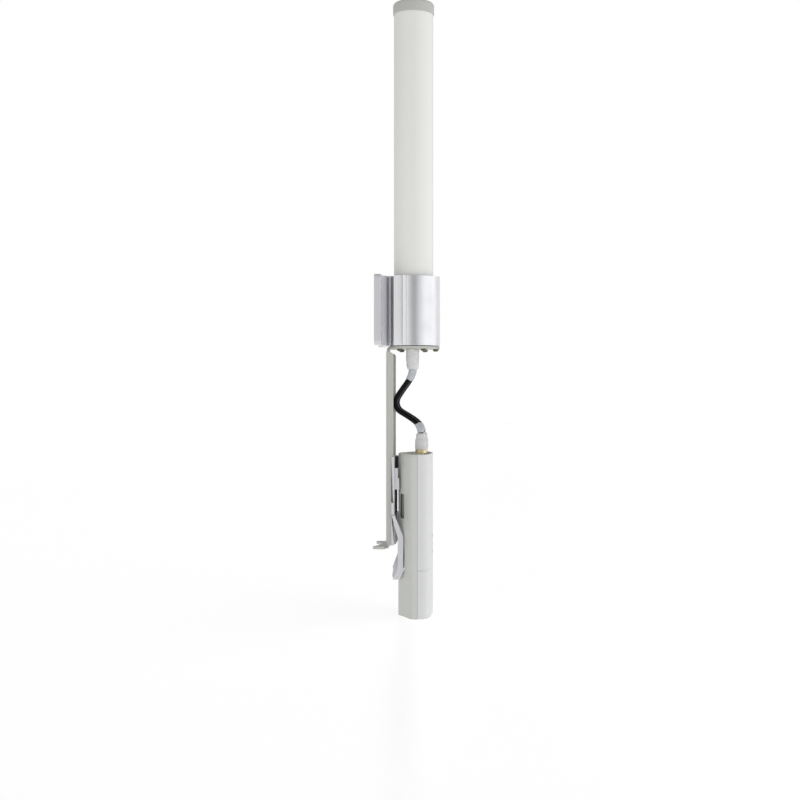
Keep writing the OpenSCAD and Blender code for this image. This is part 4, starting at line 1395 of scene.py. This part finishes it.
class ANTENNA_OT_connectors(bpy.types.Operator):
    """Finishes the jacks, the coupling nuts, the plugs and the milky boots"""

    bl_idname = "antenna.connectors"
    bl_label = "Connectors"

    def execute(self, context):
        for letter, side in SIDES.items():
            for node in ("antenna_jack_", "radio_jack_", "upper_nut_", "lower_nut_"):
                edge_rounded(node + letter, 0.18 * MM, node + letter + "_turned")
            for node in ("upper_plug_", "lower_plug_"):
                edge_rounded(node + letter, 0.15 * MM, node + letter + "_turned", 1)
            self.upper_boot(letter)
            self.lower_boot(letter)
        return {"FINISHED"}

    def upper_boot(self, letter):
        node = "upper_boot_" + letter
        low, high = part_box(node)
        centre = (low + high) / 2
        top = high.z
        outline = [
            (5.9, 0), (5.9, -5.6), (5.6, -6.0), (5.9, -6.4), (5.9, -11.9), (5.4, -12.5), (5.4, -17.0),
            (5.2, -17.6), (4.3, -20.0), (3.7, -20.0), (3.7, -11.3), (4.5, -11.3), (4.5, -7.0), (5.02, -7.0),
            (5.02, 0)]
        shape = rounded([(r * MM, top + h * MM) for r, h in outline], 0.25 * MM)
        piece_from("milky_" + node, turned(node, shape, centre, 96), "antenna", "milky_boot", [node])

    def lower_boot(self, letter):
        node = "lower_boot_" + letter
        low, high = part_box(node)
        centre = (low + high) / 2
        base = low.z
        outline = [
            (5.65, 0), (5.65, 9.4), (5.0, 9.7), (4.85, 10.2), (4.7, 14.2), (4.4, 14.8), (3.8, 15.8),
            (3.15, 15.8), (3.1, 14.6), (3.7, 14.6), (3.7, 6.0), (4.5, 6.0), (4.5, 1.4), (5.02, 1.4),
            (5.02, 0)]
        shape = rounded([(r * MM, base + h * MM) for r, h in outline], 0.25 * MM)
        piece_from("milky_" + node, turned(node, shape, centre, 96), "antenna", "milky_boot", [node])


class ANTENNA_OT_mount(bpy.types.Operator):
    """Finishes the quick mount, its black pad (also painted shade in the gap by the radio), its screws and
    the sprung latch
    """

    bl_idname = "antenna.mount"
    bl_label = "Quick mount and latch"

    def execute(self, context):
        round_edge = sizes().edge_round
        edge_rounded("quick_mount", round_edge, "mount_block")
        # The pad is black rubber and also painted shade: its black stands for the deep shade on the plate's
        # front face, in the gap by the radio.
        edge_rounded("mount_pad", 0.3 * MM, "black_pad_and_painted_shade")
        edge_rounded("latch", round_edge, "latch_moulding")
        edge_rounded("mount_screws", 0.12 * MM, "countersunk_screws", 1)
        return {"FINISHED"}


class ANTENNA_OT_radio(bpy.types.Operator):
    """Finishes the radio's shells, the sliding door, the port and the reset button"""

    bl_idname = "antenna.radio"
    bl_label = "Radio"

    def execute(self, context):
        round_edge = sizes().edge_round
        edge_rounded("radio_rear_shell", round_edge, "rear_shell")
        edge_rounded("radio_front_shell", round_edge, "front_shell")
        edge_rounded("port_door", round_edge, "door_shell")
        edge_rounded("ethernet_jack", 0.2 * MM, "network_port")
        edge_rounded("reset_switch", 0.15 * MM, "reset_switch_case")
        edge_rounded("reset_button", 0.2 * MM, "reset_button_cap")
        return {"FINISHED"}


class ANTENNA_OT_inside(bpy.types.Operator):
    """Gives the pieces inside the radome and the radio their finishes"""

    bl_idname = "antenna.inside"
    bl_label = "Inside pieces"

    def execute(self, context):
        for node, solid in frame["nodes"].items():
            solid.data.materials.clear()
            solid.data.materials.append(material_for(SLOT_OF[node]))
        return {"FINISHED"}


class ANTENNA_PT_panel(bpy.types.Panel):
    """Lists the steps that build the antenna"""

    bl_idname = "ANTENNA_PT_panel"
    bl_label = "Omnidirectional Antenna"
    bl_space_type = "VIEW_3D"
    bl_region_type = "UI"
    bl_category = "Antenna"

    def draw(self, context):
        layout = self.layout
        for group in (sizes(), colours(), context.scene.antenna_stage):
            column = layout.column(align=True)
            for name in group.__annotations__:
                column.prop(group, name)
        for step in STEPS:
            layout.operator(step.bl_idname)


STEPS = (
    ANTENNA_OT_stage, ANTENNA_OT_jumpers, ANTENNA_OT_radome, ANTENNA_OT_collar, ANTENNA_OT_arm,
    ANTENNA_OT_connectors, ANTENNA_OT_mount, ANTENNA_OT_radio, ANTENNA_OT_inside,
)
CLASSES = (AntennaSizes, AntennaColours, AntennaStage, *STEPS, ANTENNA_PT_panel)


def register():
    for each in CLASSES:
        bpy.utils.register_class(each)
    bpy.types.Scene.antenna_sizes = PointerProperty(type=AntennaSizes)
    bpy.types.Scene.antenna_colours = PointerProperty(type=AntennaColours)
    bpy.types.Scene.antenna_stage = PointerProperty(type=AntennaStage)


def unregister():
    del bpy.types.Scene.antenna_stage
    del bpy.types.Scene.antenna_colours
    del bpy.types.Scene.antenna_sizes
    for each in reversed(CLASSES):
        bpy.utils.unregister_class(each)


def main():
    register()
    bpy.ops.antenna.stage()
    bpy.ops.antenna.jumpers()
    bpy.ops.antenna.radome()
    bpy.ops.antenna.collar()
    bpy.ops.antenna.arm()
    bpy.ops.antenna.connectors()
    bpy.ops.antenna.mount()
    bpy.ops.antenna.radio()
    bpy.ops.antenna.inside()


if __name__ == "__main__":
    main()
